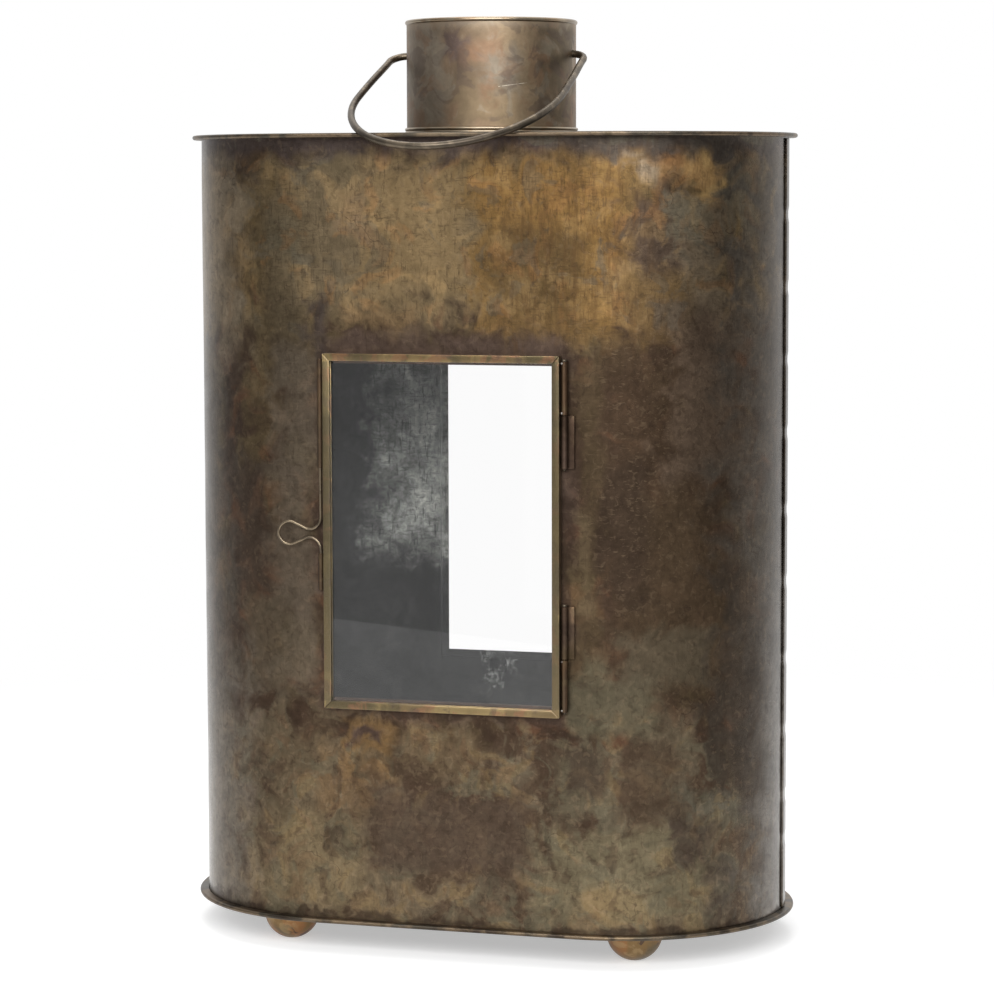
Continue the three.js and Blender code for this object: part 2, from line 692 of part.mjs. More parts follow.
function buildRearWindow() {
  const bottom = CASE_BOTTOM + REAR_OPENING_BOTTOM;
  const top = CASE_BOTTOM + REAR_OPENING_TOP;
  const pane = rectangle(
    -REAR_OPENING_WIDTH / 2 - REAR_GLASS_LAP,
    REAR_OPENING_WIDTH / 2 + REAR_GLASS_LAP,
    bottom - REAR_GLASS_LAP,
    top + REAR_GLASS_LAP,
  );
  const back = WALL_BACK_INSIDE - REAR_GLASS_GAP;
  place("rear_glass", through(pane, back - GLASS_THICKNESS, back), paneGlass);

  const clipX = REAR_OPENING_WIDTH / 2 - CLIP_INSET;
  const levels = { lower: { side: -1, edge: bottom }, upper: { side: 1, edge: top } };
  for (const [level, { side, edge }] of Object.entries(levels))
    for (const [name, x] of Object.entries({ left: -clipX, right: clipX })) {
      const mesh = place("rear_clip_" + level + "_" + name, clip(side), rimBrass);
      mesh.position.set(x, 0, edge);
    }
}

buildCase();
buildFeet();
buildChimney();
buildBail();
buildDoor();
buildHinges();
buildPull();
buildRearWindow();

export default lantern;
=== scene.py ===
# %% [markdown]
# # A flask-shaped brass candle lantern
#
# The lantern is folded from thin brass sheet: a case with half-round ends, a glazed door in front, a
# window behind, a short round chimney with a wire bail, and four domed feet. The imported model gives
# every piece its place and size. This lesson makes the surfaces that are seen: rounded folds, a sheet
# that is slightly uneven, drawn wire, clear panes, and above all the old brown and gold patina.

# %% Load the frame
import math
import bpy
from mathutils import Euler, Matrix, Vector


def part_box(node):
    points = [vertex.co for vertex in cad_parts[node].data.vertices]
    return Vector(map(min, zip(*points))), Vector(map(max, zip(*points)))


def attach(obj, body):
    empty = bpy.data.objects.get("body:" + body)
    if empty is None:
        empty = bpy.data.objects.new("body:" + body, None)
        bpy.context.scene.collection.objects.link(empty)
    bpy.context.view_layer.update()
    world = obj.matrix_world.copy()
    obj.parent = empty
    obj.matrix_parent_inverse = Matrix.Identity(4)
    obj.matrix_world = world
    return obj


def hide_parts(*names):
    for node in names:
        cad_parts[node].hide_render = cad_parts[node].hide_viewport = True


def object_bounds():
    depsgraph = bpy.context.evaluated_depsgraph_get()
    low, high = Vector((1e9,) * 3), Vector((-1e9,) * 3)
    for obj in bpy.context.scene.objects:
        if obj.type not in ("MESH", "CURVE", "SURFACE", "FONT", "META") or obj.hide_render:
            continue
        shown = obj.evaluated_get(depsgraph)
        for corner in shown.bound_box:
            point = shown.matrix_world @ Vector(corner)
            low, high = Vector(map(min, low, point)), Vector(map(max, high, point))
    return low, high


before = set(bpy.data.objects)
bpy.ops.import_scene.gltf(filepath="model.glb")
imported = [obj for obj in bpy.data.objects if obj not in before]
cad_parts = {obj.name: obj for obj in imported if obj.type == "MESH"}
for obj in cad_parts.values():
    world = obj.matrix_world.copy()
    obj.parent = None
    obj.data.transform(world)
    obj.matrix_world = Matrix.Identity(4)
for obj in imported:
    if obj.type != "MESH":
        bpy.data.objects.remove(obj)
cad_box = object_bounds()
sides = [round(side, 4) for side in cad_box[1] - cad_box[0]]
print("frame loaded:", len(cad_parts), "nodes, box", sides)

# %% [markdown]
# ## Sizes read from the frame
#
# The case is a flask shape: two half-round ends joined by straight sides. Its middle, the radius of its
# ends and the axis of its right end follow from the box round the top plate, whose folded rim reaches
# 5 mm past the wall. A few sizes that a box can't tell, such as the sheet's thickness, are named here.

# %% Sizes
SHEET = 0.0006
RIM_OVERHANG = 0.005
JOINT_GAP = 0.0003
RIM_HEIGHT = 0.0024

plate_low, plate_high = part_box("top_plate")
MIDDLE_Y = (plate_low.y + plate_high.y) / 2
END_RADIUS = (plate_high.y - plate_low.y) / 2 - RIM_OVERHANG
END_X = plate_high.x - RIM_OVERHANG - END_RADIUS
CASE_TOP = plate_high.z
CASE_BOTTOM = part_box("bottom_plate")[0].z
print(f"case: end radius {END_RADIUS:.4f}, end axis at x {END_X:.4f}")
print(f"case: from z {CASE_BOTTOM:.4f} to {CASE_TOP:.4f}")

# %% [markdown]
# ## Camera
#
# The photograph was taken with a long lens from a little above the middle of the case and to its right.
# The place and the angles were found by matching the corners and rims of the case, so they are kept as
# numbers. The lens follows from its focal length in pixels of the photograph.

# %% Camera
PHOTO_HEIGHT = 995
FOCAL_PIXELS = 3302
SENSOR = 36.0
CAMERA_PLACE = Vector((0.5251, -1.7167, 0.4067))
CAMERA_YAW = math.radians(16.81)
CAMERA_PITCH = math.radians(5.34)
CAMERA_ROLL = math.radians(-0.14)

aim = Euler((math.pi / 2 - CAMERA_PITCH, 0, CAMERA_YAW)).to_matrix()
roll = Euler((0, 0, CAMERA_ROLL)).to_matrix()
bpy.ops.object.camera_add(location=CAMERA_PLACE, rotation=(aim @ roll).to_euler())
camera = bpy.context.object
camera.name = "photo_camera"
camera.data.sensor_width = SENSOR
camera.data.lens = FOCAL_PIXELS * SENSOR / PHOTO_HEIGHT
bpy.context.scene.camera = camera
bpy.context.scene.view_settings.view_transform = "Standard"
print(f"camera: {camera.data.lens:.1f} mm lens")

# %% [markdown]
# ## Node helpers
#
# Patina is built from many small nodes. One helper adds a node and fills its sockets with values or
# with links, and the others name the few sums that come back again and again, so that each material
# reads like its recipe.


# %% Node helpers
def add_node(tree, kind, sockets=None, **options):
    """Adds a node, sets its options, and fills its sockets with plain values or with links."""
    made = tree.nodes.new(kind)
    for option, value in options.items():
        setattr(made, option, value)
    for socket, value in (sockets or {}).items():
        if isinstance(value, bpy.types.NodeSocket):
            tree.links.new(value, made.inputs[socket])
        else:
            made.inputs[socket].default_value = value
    return made


def calculate(tree, operation, *values, clamp=False):
    sockets = dict(enumerate(values))
    return add_node(tree, "ShaderNodeMath", sockets, operation=operation, use_clamp=clamp).outputs[0]


def calculate_vector(tree, operation, *values, scale=None):
    sockets = dict(enumerate(values))
    if scale is not None:
        sockets["Scale"] = scale
    return add_node(tree, "ShaderNodeVectorMath", sockets, operation=operation).outputs["Vector"]


def ease(tree, value, start, end, low=0.0, high=1.0):
    """A smooth step: low where the value is at start, and high where it is at end."""
    sockets = {"Value": value, "From Min": start, "From Max": end, "To Min": low, "To Max": high}
    made = add_node(tree, "ShaderNodeMapRange", sockets, interpolation_type="SMOOTHSTEP")
    return made.outputs["Result"]


def blend_colours(tree, share, first, second):
    """A blend of two colours, each a socket or three plain numbers."""
    sockets = {0: share, 6: first, 7: second}
    for socket in (6, 7):
        if not isinstance(sockets[socket], bpy.types.NodeSocket):
            sockets[socket] = (*sockets[socket], 1.0)
    return add_node(tree, "ShaderNodeMix", sockets, data_type="RGBA").outputs[2]


def channels(tree, colour):
    return add_node(tree, "ShaderNodeSeparateColor", {"Color": colour}).outputs


def axes(tree, vector):
    return add_node(tree, "ShaderNodeSeparateXYZ", {0: vector}).outputs


def object_place(tree):
    return add_node(tree, "ShaderNodeTexCoord").outputs["Object"]


def add_noise(tree, vector, scale, detail, roughness=0.5, distortion=0.0):
    sockets = {"Vector": vector, "Scale": scale, "Detail": detail, "Roughness": roughness}
    sockets["Distortion"] = distortion
    return add_node(tree, "ShaderNodeTexNoise", sockets).outputs


def start_effect(name, inputs, outputs):
    """A new node group. Inputs are given with their default values, outputs with their types."""
    tree = bpy.data.node_groups.new(name, "ShaderNodeTree")
    for label, value in inputs.items():
        kind = "NodeSocketFloat" if isinstance(value, float) else "NodeSocketVector"
        socket = tree.interface.new_socket(label, in_out="INPUT", socket_type=kind)
        if value is not None:
            socket.default_value = value
    for label, kind in outputs.items():
        tree.interface.new_socket(label, in_out="OUTPUT", socket_type="NodeSocket" + kind)
    entry = tree.nodes.new("NodeGroupInput")
    leave = tree.nodes.new("NodeGroupOutput")
    return tree, entry.outputs, leave.inputs


def use_effect(tree, effect, **values):
    """Places an effect in a material. A socket called Half Size is given as half_size."""
    sockets = {name.replace("_", " ").title(): value for name, value in values.items()}
    return add_node(tree, "ShaderNodeGroup", sockets, node_tree=effect).outputs


def new_material(name):
    material = bpy.data.materials.new(name)
    material.use_nodes = True
    return material, material.node_tree, material.node_tree.nodes["Principled BSDF"]


def set_values(shader, **values):
    """Sets plain numbers on a shader. A socket called Base Color is given as base_color."""
    for name, value in values.items():
        shader.inputs[name.replace("_", " ").title()].default_value = value


print("node helpers ready")

# %% [markdown]
# ## Effect: stain maps
#
# Patina has three scales: clouds as wide as a hand, blotches as wide as a thumb with crisp edges like
# dried puddles, and a fine grain. One group makes them all, so that every brass piece shares them. The
# clouds are drawn out upwards, because acid runs down the sheet. The group also gives a warped place,
# so that what is drawn with straight edges comes out ragged.

# %% Stain maps
CLOUD_SIZE = 0.042
BLOTCH_SIZE = 0.018
SPECK_SIZE = 0.0036
GRAIN_SIZE = 0.0011
DRAWN_UPWARDS = (1.0, 1.0, 0.62)

stain_maps, inside, out = start_effect(
    "stain maps",
    {"Vector": None, "Size": 1.0, "Warp": 0.03},
    {"Clouds": "Color", "Blotches": "Color", "Specks": "Color", "Grain": "Float", "Warped": "Vector"},
)
place = calculate_vector(stain_maps, "SCALE", inside["Vector"], scale=inside["Size"])
drawn_out = calculate_vector(stain_maps, "MULTIPLY", place, DRAWN_UPWARDS)
clouds = add_noise(stain_maps, drawn_out, 1 / CLOUD_SIZE, 4.0, 0.55, 0.3)["Color"]
blotches = add_noise(stain_maps, place, 1 / BLOTCH_SIZE, 4.0, 0.54, 0.6)["Color"]
specks = add_noise(stain_maps, place, 1 / SPECK_SIZE, 2.0, 0.5, 0.6)["Color"]
grain = add_noise(stain_maps, place, 1 / GRAIN_SIZE, 2.0, 0.6)["Fac"]
middle = (0.5, 0.5, 0.5)
wide_shift = calculate_vector(stain_maps, "SUBTRACT", clouds, middle)
small_shift = calculate_vector(stain_maps, "SUBTRACT", blotches, middle)
small_shift = calculate_vector(stain_maps, "SCALE", small_shift, scale=0.5)
shift = calculate_vector(stain_maps, "ADD", wide_shift, small_shift)
shift = calculate_vector(stain_maps, "SCALE", shift, scale=inside["Warp"])
warped = calculate_vector(stain_maps, "ADD", inside["Vector"], shift)
made = {"Clouds": clouds, "Blotches": blotches, "Specks": specks, "Grain": grain, "Warped": warped}
for label, value in made.items():
    stain_maps.links.new(value, out[label])
print("effect:", stain_maps.name)

# %% [markdown]
# ## Effect: zone
#
# Colours on the real case keep to places: gold under the top rim, dark halos where the door's solder
# was heated. A zone is a box in the warped place. Its edge is also eaten by a noise, so it comes out as
# ragged as a dried puddle, which is much quicker than painting a map, and it works in the round.

# %% Zone
zone, inside, out = start_effect(
    "zone",
    {
        "Vector": None,
        "Centre": (0, 0, 0),
        "Half Size": (1, 1, 1),
        "Softness": 0.01,
        "Noise": 0.5,
        "Ragged": 1.0,
        "Blur": 0.12,
    },
    {"Mask": "Float"},
)
away = calculate_vector(zone, "SUBTRACT", inside["Vector"], inside["Centre"])
away = calculate_vector(zone, "ABSOLUTE", away)
away = calculate_vector(zone, "SUBTRACT", away, inside["Half Size"])
sides = axes(zone, away)
furthest = calculate(zone, "MAXIMUM", sides["X"], sides["Y"])
furthest = calculate(zone, "MAXIMUM", furthest, sides["Z"])
ramp = calculate(zone, "DIVIDE", furthest, inside["Softness"])
wander = calculate(zone, "SUBTRACT", inside["Noise"], 0.5)
wander = calculate(zone, "MULTIPLY", wander, inside["Ragged"])
edge = calculate(zone, "SUBTRACT", wander, calculate(zone, "MULTIPLY", ramp, 0.5))
low = calculate(zone, "MULTIPLY", inside["Blur"], -1.0)
zone.links.new(ease(zone, edge, low, inside["Blur"]), out["Mask"])
print("effect:", zone.name)

# %% [markdown]
# ## Effect: patch
#
# The front of the case carries nearly fifty stains. A patch is the same ragged box seen from the front
# alone, so it needs only two distances where a zone needs three. With that many stains in one
# material the difference counts, because the renderer has room for a limited number of values.

# %% Patch
patch, inside, out = start_effect(
    "patch",
    {
        "Across": 0.0,
        "Up": 0.0,
        "Centre Across": 0.0,
        "Centre Up": 0.0,
        "Half Width": 1.0,
        "Half Height": 1.0,
        "Softness": 0.01,
        "Noise": 0.5,
        "Blur": 0.34,
    },
    {"Mask": "Float"},
)
distances = []
for along, half_size in (("Across", "Half Width"), ("Up", "Half Height")):
    distance = calculate(patch, "SUBTRACT", inside[along], inside["Centre " + along])
    distance = calculate(patch, "ABSOLUTE", distance)
    distances.append(calculate(patch, "SUBTRACT", distance, inside[half_size]))
ramp = calculate(patch, "DIVIDE", calculate(patch, "MAXIMUM", *distances), inside["Softness"])
wander = calculate(patch, "MULTIPLY_ADD", inside["Noise"], 1.6, -0.8)
edge = calculate(patch, "SUBTRACT", wander, calculate(patch, "MULTIPLY", ramp, 0.5))
low = calculate(patch, "MULTIPLY", inside["Blur"], -1.0)
patch.links.new(ease(patch, edge, low, inside["Blur"]), out["Mask"])
print("effect:", patch.name)

# %% [markdown]
# ## Effect: strokes
#
# Seen closely, the golden parts are covered with short dark strokes, upright and level, where the acid
# dried along the marks of the rolling mill. Two noises, one drawn out upwards and one sideways, are cut
# off below, so that only strokes stay. They are two outputs, as most places have more of one kind.

# %% Strokes
strokes, inside, out = start_effect(
    "strokes",
    {"Vector": None, "Spacing": 0.001, "Amount": 0.5, "Sharpness": 0.5},
    {"Upright": "Float", "Level": "Float"},
)
rate = calculate(strokes, "DIVIDE", 1.0, inside["Spacing"])
threshold = calculate(strokes, "MULTIPLY_ADD", inside["Amount"], -0.3, 0.7)
reach = calculate(strokes, "MULTIPLY_ADD", inside["Sharpness"], -0.24, 0.28)
for label, stretch in (("Upright", (1.0, 1.0, 0.16)), ("Level", (0.24, 0.24, 1.3))):
    placed = calculate_vector(strokes, "MULTIPLY", inside["Vector"], stretch)
    placed = calculate_vector(strokes, "SCALE", placed, scale=rate)
    noise = add_noise(strokes, placed, 0.5, 3.0, 0.62)["Fac"]
    over = calculate(strokes, "SUBTRACT", noise, threshold)
    strokes.links.new(ease(strokes, over, 0.0, reach), out[label])
print("effect:", strokes.name)

# %% [markdown]
# ## Effect: crazing
#
# The brown crust has shrunk and cracked like old varnish. The edges of Voronoi cells make the net of
# cracks, a warped place keeps them from looking like cells, and a noise interrupts them.

# %% Crazing
crazing, inside, out = start_effect(
    "crazing",
    {"Vector": None, "Cell Size": 0.004, "Width": 0.06, "Amount": 0.5},
    {"Mask": "Float"},
)
rate = calculate(crazing, "DIVIDE", 1.0, inside["Cell Size"])
placed = calculate_vector(crazing, "SCALE", inside["Vector"], scale=rate)
bend = add_noise(crazing, placed, 1.3, 3.0)["Color"]
bend = calculate_vector(crazing, "SUBTRACT", bend, middle)
bend = calculate_vector(crazing, "SCALE", bend, scale=1.3)
placed = calculate_vector(crazing, "ADD", placed, bend)
sockets = {"Vector": placed, "Scale": 1.0}
cells = add_node(crazing, "ShaderNodeTexVoronoi", sockets, feature="DISTANCE_TO_EDGE")
crack = ease(crazing, cells.outputs["Distance"], inside["Width"], 0.0)
gaps = add_noise(crazing, placed, 0.6, 2.0)["Fac"]
threshold = calculate(crazing, "MULTIPLY_ADD", inside["Amount"], -0.4, 0.7)
kept = ease(crazing, calculate(crazing, "SUBTRACT", gaps, threshold), 0.0, 0.1)
crazing.links.new(calculate(crazing, "MULTIPLY", crack, kept), out["Mask"])
print("effect:", crazing.name)

# %% [markdown]
# ## Effect: scratches
#
# Handling leaves long fine lines. They are a noise stretched thirty times along one direction and cut
# off near its peaks; the turn of the direction is an input, so that a piece can have two sets.

# %% Scratches
scratches, inside, out = start_effect(
    "scratches",
    {"Vector": None, "Turn": (0, 0, 0), "Width": 0.0005, "Amount": 0.5},
    {"Mask": "Float"},
)
sockets = {"Vector": inside["Vector"], "Rotation": inside["Turn"], "Scale": (0.03, 1.0, 1.0)}
turned = add_node(scratches, "ShaderNodeMapping", sockets).outputs["Vector"]
rate = calculate(scratches, "DIVIDE", 1.0, inside["Width"])
turned = calculate_vector(scratches, "SCALE", turned, scale=rate)
noise = add_noise(scratches, turned, 0.35, 2.0)["Fac"]
threshold = calculate(scratches, "MULTIPLY_ADD", inside["Amount"], -0.14, 0.74)
over = calculate(scratches, "SUBTRACT", noise, threshold)
scratches.links.new(ease(scratches, over, 0.0, 0.05), out["Mask"])
print("effect:", scratches.name)

# %% [markdown]
# ## Effect: worn edge
#
# Folds and corners are rubbed bright. Pointiness tells how far a point stands out from its
# surroundings, and a little grain breaks the line up.

# %% Worn edge
worn_edge, inside, out = start_effect(
    "worn edge",
    {"Grain": 0.5, "Start": 0.51, "End": 0.58},
    {"Mask": "Float"},
)
sharp = add_node(worn_edge, "ShaderNodeNewGeometry").outputs["Pointiness"]
broken = calculate(worn_edge, "MULTIPLY_ADD", inside["Grain"], 0.04, -0.02)
sharp = calculate(worn_edge, "ADD", sharp, broken)
worn_edge.links.new(ease(worn_edge, sharp, inside["Start"], inside["End"]), out["Mask"])
print("effect:", worn_edge.name)

# %% [markdown]
# ## Brass materials
#
# All the brass is one metal under different coats of brown. A material starts with the stain maps,
# lays tones over each other, each in its zone and broken by clouds or blotches, and ends with strokes,
# cracks, roughness and a fine bump. `lay` lays one tone, so a stain takes one line, `lay_list` lays a
# list of them, and `coat` fills a place with one.

# %% Tones and the layer helper
UMBER = (0.066, 0.042, 0.028)
DARK_UMBER = (0.038, 0.025, 0.018)
PLUM = (0.078, 0.053, 0.045)
OLIVE = (0.115, 0.084, 0.045)
OLIVE_GOLD = (0.19, 0.128, 0.058)
GOLD = (0.29, 0.19, 0.085)
PALE_GOLD = (0.38, 0.27, 0.14)
ORANGE = (0.31, 0.155, 0.06)
RUST = (0.16, 0.072, 0.035)
VERDIGRIS = (0.128, 0.111, 0.073)
SLATE = (0.1, 0.088, 0.066)
TAN = (0.3, 0.215, 0.135)
BRIGHT = (0.5, 0.42, 0.32)

FRONT = MIDDLE_Y - END_RADIUS


class Patina:
    """A brass material in the making: its node tree, the shared stain maps, and the colour so far."""

    def __init__(self, name, base, size=1.0, warp=0.03):
        self.material, self.tree, self.shader = new_material(name)
        self.place = object_place(self.tree)
        self.maps = use_effect(self.tree, stain_maps, vector=self.place, size=size, warp=warp)
        self.clouds = channels(self.tree, self.maps["Clouds"])
        self.blotches = channels(self.tree, self.maps["Blotches"])
        self.specks = channels(self.tree, self.maps["Specks"])
        self.warped = axes(self.tree, self.maps["Warped"])
        self.colour = base
        self.height = None

    def stain(self, source, channel, start, end):
        """A mask from one channel of the clouds, the blotches or the specks."""
        return ease(self.tree, getattr(self, source)[channel], start, end)

    def within(self, x=(-1, 1), y=(-1, 1), z=(-1, 1), softness=0.016, ragged=1.6, blur=0.16):
        """A mask for the ragged box between the given limits, in metres."""
        values = {
            "vector": self.maps["Warped"],
            "centre": [(low + high) / 2 for low, high in (x, y, z)],
            "half_size": [(high - low) / 2 for low, high in (x, y, z)],
            "noise": self.blotches["Red"],
            "softness": softness,
            "ragged": ragged,
            "blur": blur,
        }
        return use_effect(self.tree, zone, **values)["Mask"]

    def patch(self, across, height, softness):
        """A mask for a ragged patch seen from the front, in metres."""
        values = {
            "centre_across": sum(across) / 2,
            "centre_up": sum(height) / 2,
            "half_width": (across[1] - across[0]) / 2,
            "half_height": (height[1] - height[0]) / 2,
            "across": self.warped["X"],
            "up": self.warped["Z"],
            "noise": self.blotches["Red"],
            "softness": softness,
        }
        return use_effect(self.tree, patch, **values)["Mask"]

    def lay(self, tone, share, *masks):
        """Lays a tone over what is there: its share times all its masks."""
        for mask in masks:
            share = calculate(self.tree, "MULTIPLY", share, mask)
        self.colour = blend_colours(self.tree, share, self.colour, tone)

    def coat(self, tone, share, **limits):
        """Lays a tone in a ragged box."""
        self.lay(tone, share, self.within(**limits))

    def lay_list(self, layers, *masks):
        """Lays tones. Each has its share, its map and channel, and where its mask starts and ends."""
        for tone, share, source, channel, start, end in layers:
            self.lay(tone, share, *masks, self.stain(source, channel, start, end))

    def rubbed(self, **limits):
        """A mask for the folds and corners that are rubbed bright."""
        return use_effect(self.tree, worn_edge, grain=self.maps["Grain"], **limits)["Mask"]

    def strokes(self, spacing, amount, sharpness, vector=None):
        """The masks of the upright and the level strokes."""
        values = {"spacing": spacing, "amount": amount, "sharpness": sharpness}
        return use_effect(self.tree, strokes, vector=vector or self.place, **values)

    def cracks(self, cell_size, width, amount, vector=None):
        """The mask of a net of cracks."""
        values = {"cell_size": cell_size, "width": width, "amount": amount}
        return use_effect(self.tree, crazing, vector=vector or self.place, **values)["Mask"]

    def bump(self, height, depth):
        """Adds a relief, depth metres for a height of one, to what is there."""
        relief = calculate(self.tree, "MULTIPLY", height, depth)
        if self.height is not None:
            relief = calculate(self.tree, "ADD", self.height, relief)
        self.height = relief

    def mottle(self, noise, strength):
        """Makes what is there lighter and darker with a noise round a half."""
        value = calculate(self.tree, "MULTIPLY_ADD", noise, 2 * strength, 1 - strength)
        self.colour = calculate_vector(self.tree, "SCALE", self.colour, scale=value)

    def finish(self, metallic, roughness, spread=0.2, smoother=None):
        """Wires the colour and the relief up. Grain makes the roughness vary by the spread."""
        tree, shader = self.tree, self.shader
        tree.links.new(self.colour, shader.inputs["Base Color"])
        rough = calculate(tree, "MULTIPLY_ADD", self.maps["Grain"], spread, roughness - spread)
        cloudy = calculate(tree, "MULTIPLY", self.blotches["Red"], spread)
        rough = calculate(tree, "ADD", rough, cloudy, clamp=True)
        if smoother is not None:
            rough = calculate(tree, "SUBTRACT", rough, smoother, clamp=True)
        tree.links.new(rough, shader.inputs["Roughness"])
        shader.inputs["Metallic"].default_value = metallic
        if self.height is not None:
            relief = add_node(tree, "ShaderNodeBump", {"Height": self.height, "Distance": 1.0})
            tree.links.new(relief.outputs["Normal"], shader.inputs["Normal"])
        return self.material


print("tones ready")


# %% [markdown]
# ## Case wall finish
#
# The wall carries the lantern's whole history. Its ground is umber, with olive and rust showing
# through. Across the shoulders it is gold, plum halos follow the rim and the door where they were
# heated, both sides of the door are dark, and the lower third is mottled with grey-green verdigris.
# Some of it is painted light: the dark band under the top rim is partly the rim's painted shadow, a
# thin painted shadow lies beside the door frame, and the half-round ends carry a painted reflection of
# the room and the floor. The ground and the bands go right round the case. What belongs to the front
# alone is a list of stains, each with its tone, its strength and its place in millimetres, so that a
# stain can be moved like a dab of paint. They come in this order: ground, bands, stains, small
# blotches, the painted reflection on the half-round ends, smooth coats, heat halos and painted shadows,
# and last the marks of hammer, hands and time.

# %% Stains on the front
AT_FRONT = (FRONT - 0.04, FRONT + 0.05)
FACING = (FRONT - 0.04, FRONT + 0.075)
AT_BACK = (MIDDLE_Y + END_RADIUS - 0.05, MIDDLE_Y + END_RADIUS + 0.04)
MM = 0.001

# tone, strength, from and to across, from and to in height, softness
SHOULDER_STAINS = [
    ((0.16, 0.12, 0.071), 0.9, (-104, 70), (336, 425), 22),
    ((0.23, 0.158, 0.078), 0.8, (-42, 20), (344, 421), 18),
    ((0.13, 0.108, 0.07), 0.8, (-97, -78), (377, 395), 10),
    ((0.21, 0.135, 0.078), 0.6, (-57, -42), (384, 403), 8),
    ((0.215, 0.123, 0.042), 0.9, (16, 100), (334, 424), 16),
    ((0.12, 0.078, 0.036), 0.85, (24, 78), (338, 386), 14),
    ((0.27, 0.165, 0.065), 0.8, (82, 104), (409, 428), 8),
    ((0.29, 0.23, 0.165), 0.75, (97, 113), (410, 424), 6),
    ((0.25, 0.135, 0.06), 0.85, (113, 130), (410, 426), 6),
    ((0.52, 0.335, 0.138), 0.9, (127, 146), (399, 430), 7),
    ((0.08, 0.056, 0.043), 0.88, (93, 130), (362, 406), 12),
    ((0.21, 0.16, 0.106), 0.8, (124, 146), (334, 400), 9),
    ((0.18, 0.15, 0.1), 0.8, (120, 138), (386, 402), 7),
    ((0.17, 0.108, 0.049), 0.85, (90, 127), (328, 362), 12),
    ((0.11, 0.079, 0.053), 0.85, (144, 151), (320, 430), 7),
    ((0.2, 0.165, 0.107), 0.8, (143, 153), (384, 424), 7),
    ((0.07, 0.05, 0.036), 0.8, (-126, -105), (410, 428), 9),
    ((0.2, 0.13, 0.068), 0.7, (-57, -14), (331, 343), 6),
    ((0.115, 0.088, 0.052), 0.7, (-66, -47), (402, 428), 8),
    ((0.085, 0.065, 0.041), 0.7, (-112, -76), (310, 350), 12),
]
SIDE_STAINS = [
    ((0.062, 0.04, 0.025), 0.85, (84, 150), (138, 326), 14),
    ((0.125, 0.087, 0.06), 0.85, (118, 148), (258, 345), 14),
    ((0.082, 0.055, 0.033), 0.7, (106, 142), (140, 252), 14),
    ((0.044, 0.03, 0.021), 0.7, (81, 111), (196, 270), 12),
    ((0.085, 0.06, 0.034), 0.7, (71, 84), (150, 318), 7),
    ((0.13, 0.095, 0.055), 0.5, (71, 80), (185, 240), 5),
    ((0.122, 0.088, 0.047), 0.75, (-113, -99), (290, 402), 9),
    ((0.127, 0.101, 0.073), 0.75, (-97, -70), (140, 325), 12),
    ((0.068, 0.05, 0.037), 0.6, (-126, -99), (190, 262), 14),
    ((0.11, 0.085, 0.056), 0.7, (-118, -88), (136, 186), 12),
]
LOWER_STAINS = [
    ((0.13, 0.097, 0.058), 0.65, (-114, -56), (28, 122), 18),
    ((0.15, 0.106, 0.06), 0.6, (-28, 24), (98, 124), 10),
    ((0.2, 0.122, 0.054), 0.85, (-52, -29), (94, 123), 6),
    ((0.19, 0.12, 0.062), 0.6, (-66, -28), (72, 108), 9),
    ((0.075, 0.05, 0.042), 0.9, (-49, -37), (111, 119), 3),
    ((0.195, 0.147, 0.083), 0.65, (-114, -46), (22, 70), 12),
    ((0.15, 0.09, 0.058), 0.45, (-108, -96), (46, 62), 6),
    ((0.104, 0.09, 0.058), 0.8, (66, 113), (119, 152), 10),
    ((0.102, 0.083, 0.055), 0.68, (94, 141), (144, 177), 10),
    ((0.13, 0.112, 0.072), 0.65, (62, 92), (82, 112), 10),
    ((0.14, 0.112, 0.072), 0.7, (110, 133), (108, 121), 6),
    ((0.12, 0.11, 0.08), 0.7, (126, 145), (76, 94), 7),
    ((0.173, 0.145, 0.088), 0.75, (52, 138), (24, 74), 10),
    ((0.2, 0.142, 0.076), 0.65, (72, 95), (24, 40), 7),
]
# smooth coats over the mottling
CALM_STAINS = [
    ((0.082, 0.057, 0.04), 0.86, (-42, 44), (44, 90), 10),
    ((0.06, 0.042, 0.03), 0.8, (71, 87), (94, 113), 6),
    ((0.072, 0.049, 0.032), 0.8, (94, 122), (80, 116), 8),
    ((0.058, 0.042, 0.033), 0.8, (124, 138), (54, 76), 8),
    ((0.05, 0.038, 0.028), 0.75, (140, 157), (92, 206), 9),
]


def lay_stains(patina, stains, depth=FACING):
    facing = patina.within(y=depth, softness=0.01, ragged=1.0)
    for tone, strength, across, height, softness in stains:
        across = [side * MM for side in across]
        height = [side * MM for side in height]
        patina.lay(tone, strength, patina.patch(across, height, softness * MM), facing)


print("front stains:", len(SHOULDER_STAINS + SIDE_STAINS + LOWER_STAINS + CALM_STAINS))


# %% Case wall finish
# tone, share, map, channel, where its mask starts and ends
SHOULDER_BLOTCHES = [
    (GOLD, 0.3, "blotches", "Green", 0.52, 0.62),
    (ORANGE, 0.3, "blotches", "Blue", 0.55, 0.64),
    (SLATE, 0.4, "blotches", "Red", 0.57, 0.62),
]
LOWER_BLOTCHES = [
    (VERDIGRIS, 0.6, "blotches", "Blue", 0.52, 0.59),
    (OLIVE_GOLD, 0.35, "blotches", "Green", 0.54, 0.61),
    (UMBER, 0.5, "blotches", "Red", 0.46, 0.39),
    (RUST, 0.2, "blotches", "Red", 0.57, 0.65),
    (TAN, 0.1, "specks", "Blue", 0.52, 0.64),
]


def lay_ground(patina):
    patina.lay(DARK_UMBER, 0.5, patina.stain("clouds", "Red", 0.46, 0.62))
    clouded = patina.stain("clouds", "Green", 0.46, 0.6)
    patina.lay(OLIVE, 0.8, clouded, patina.stain("blotches", "Blue", 0.4, 0.56))
    patina.lay(RUST, 0.3, patina.stain("blotches", "Green", 0.52, 0.64))


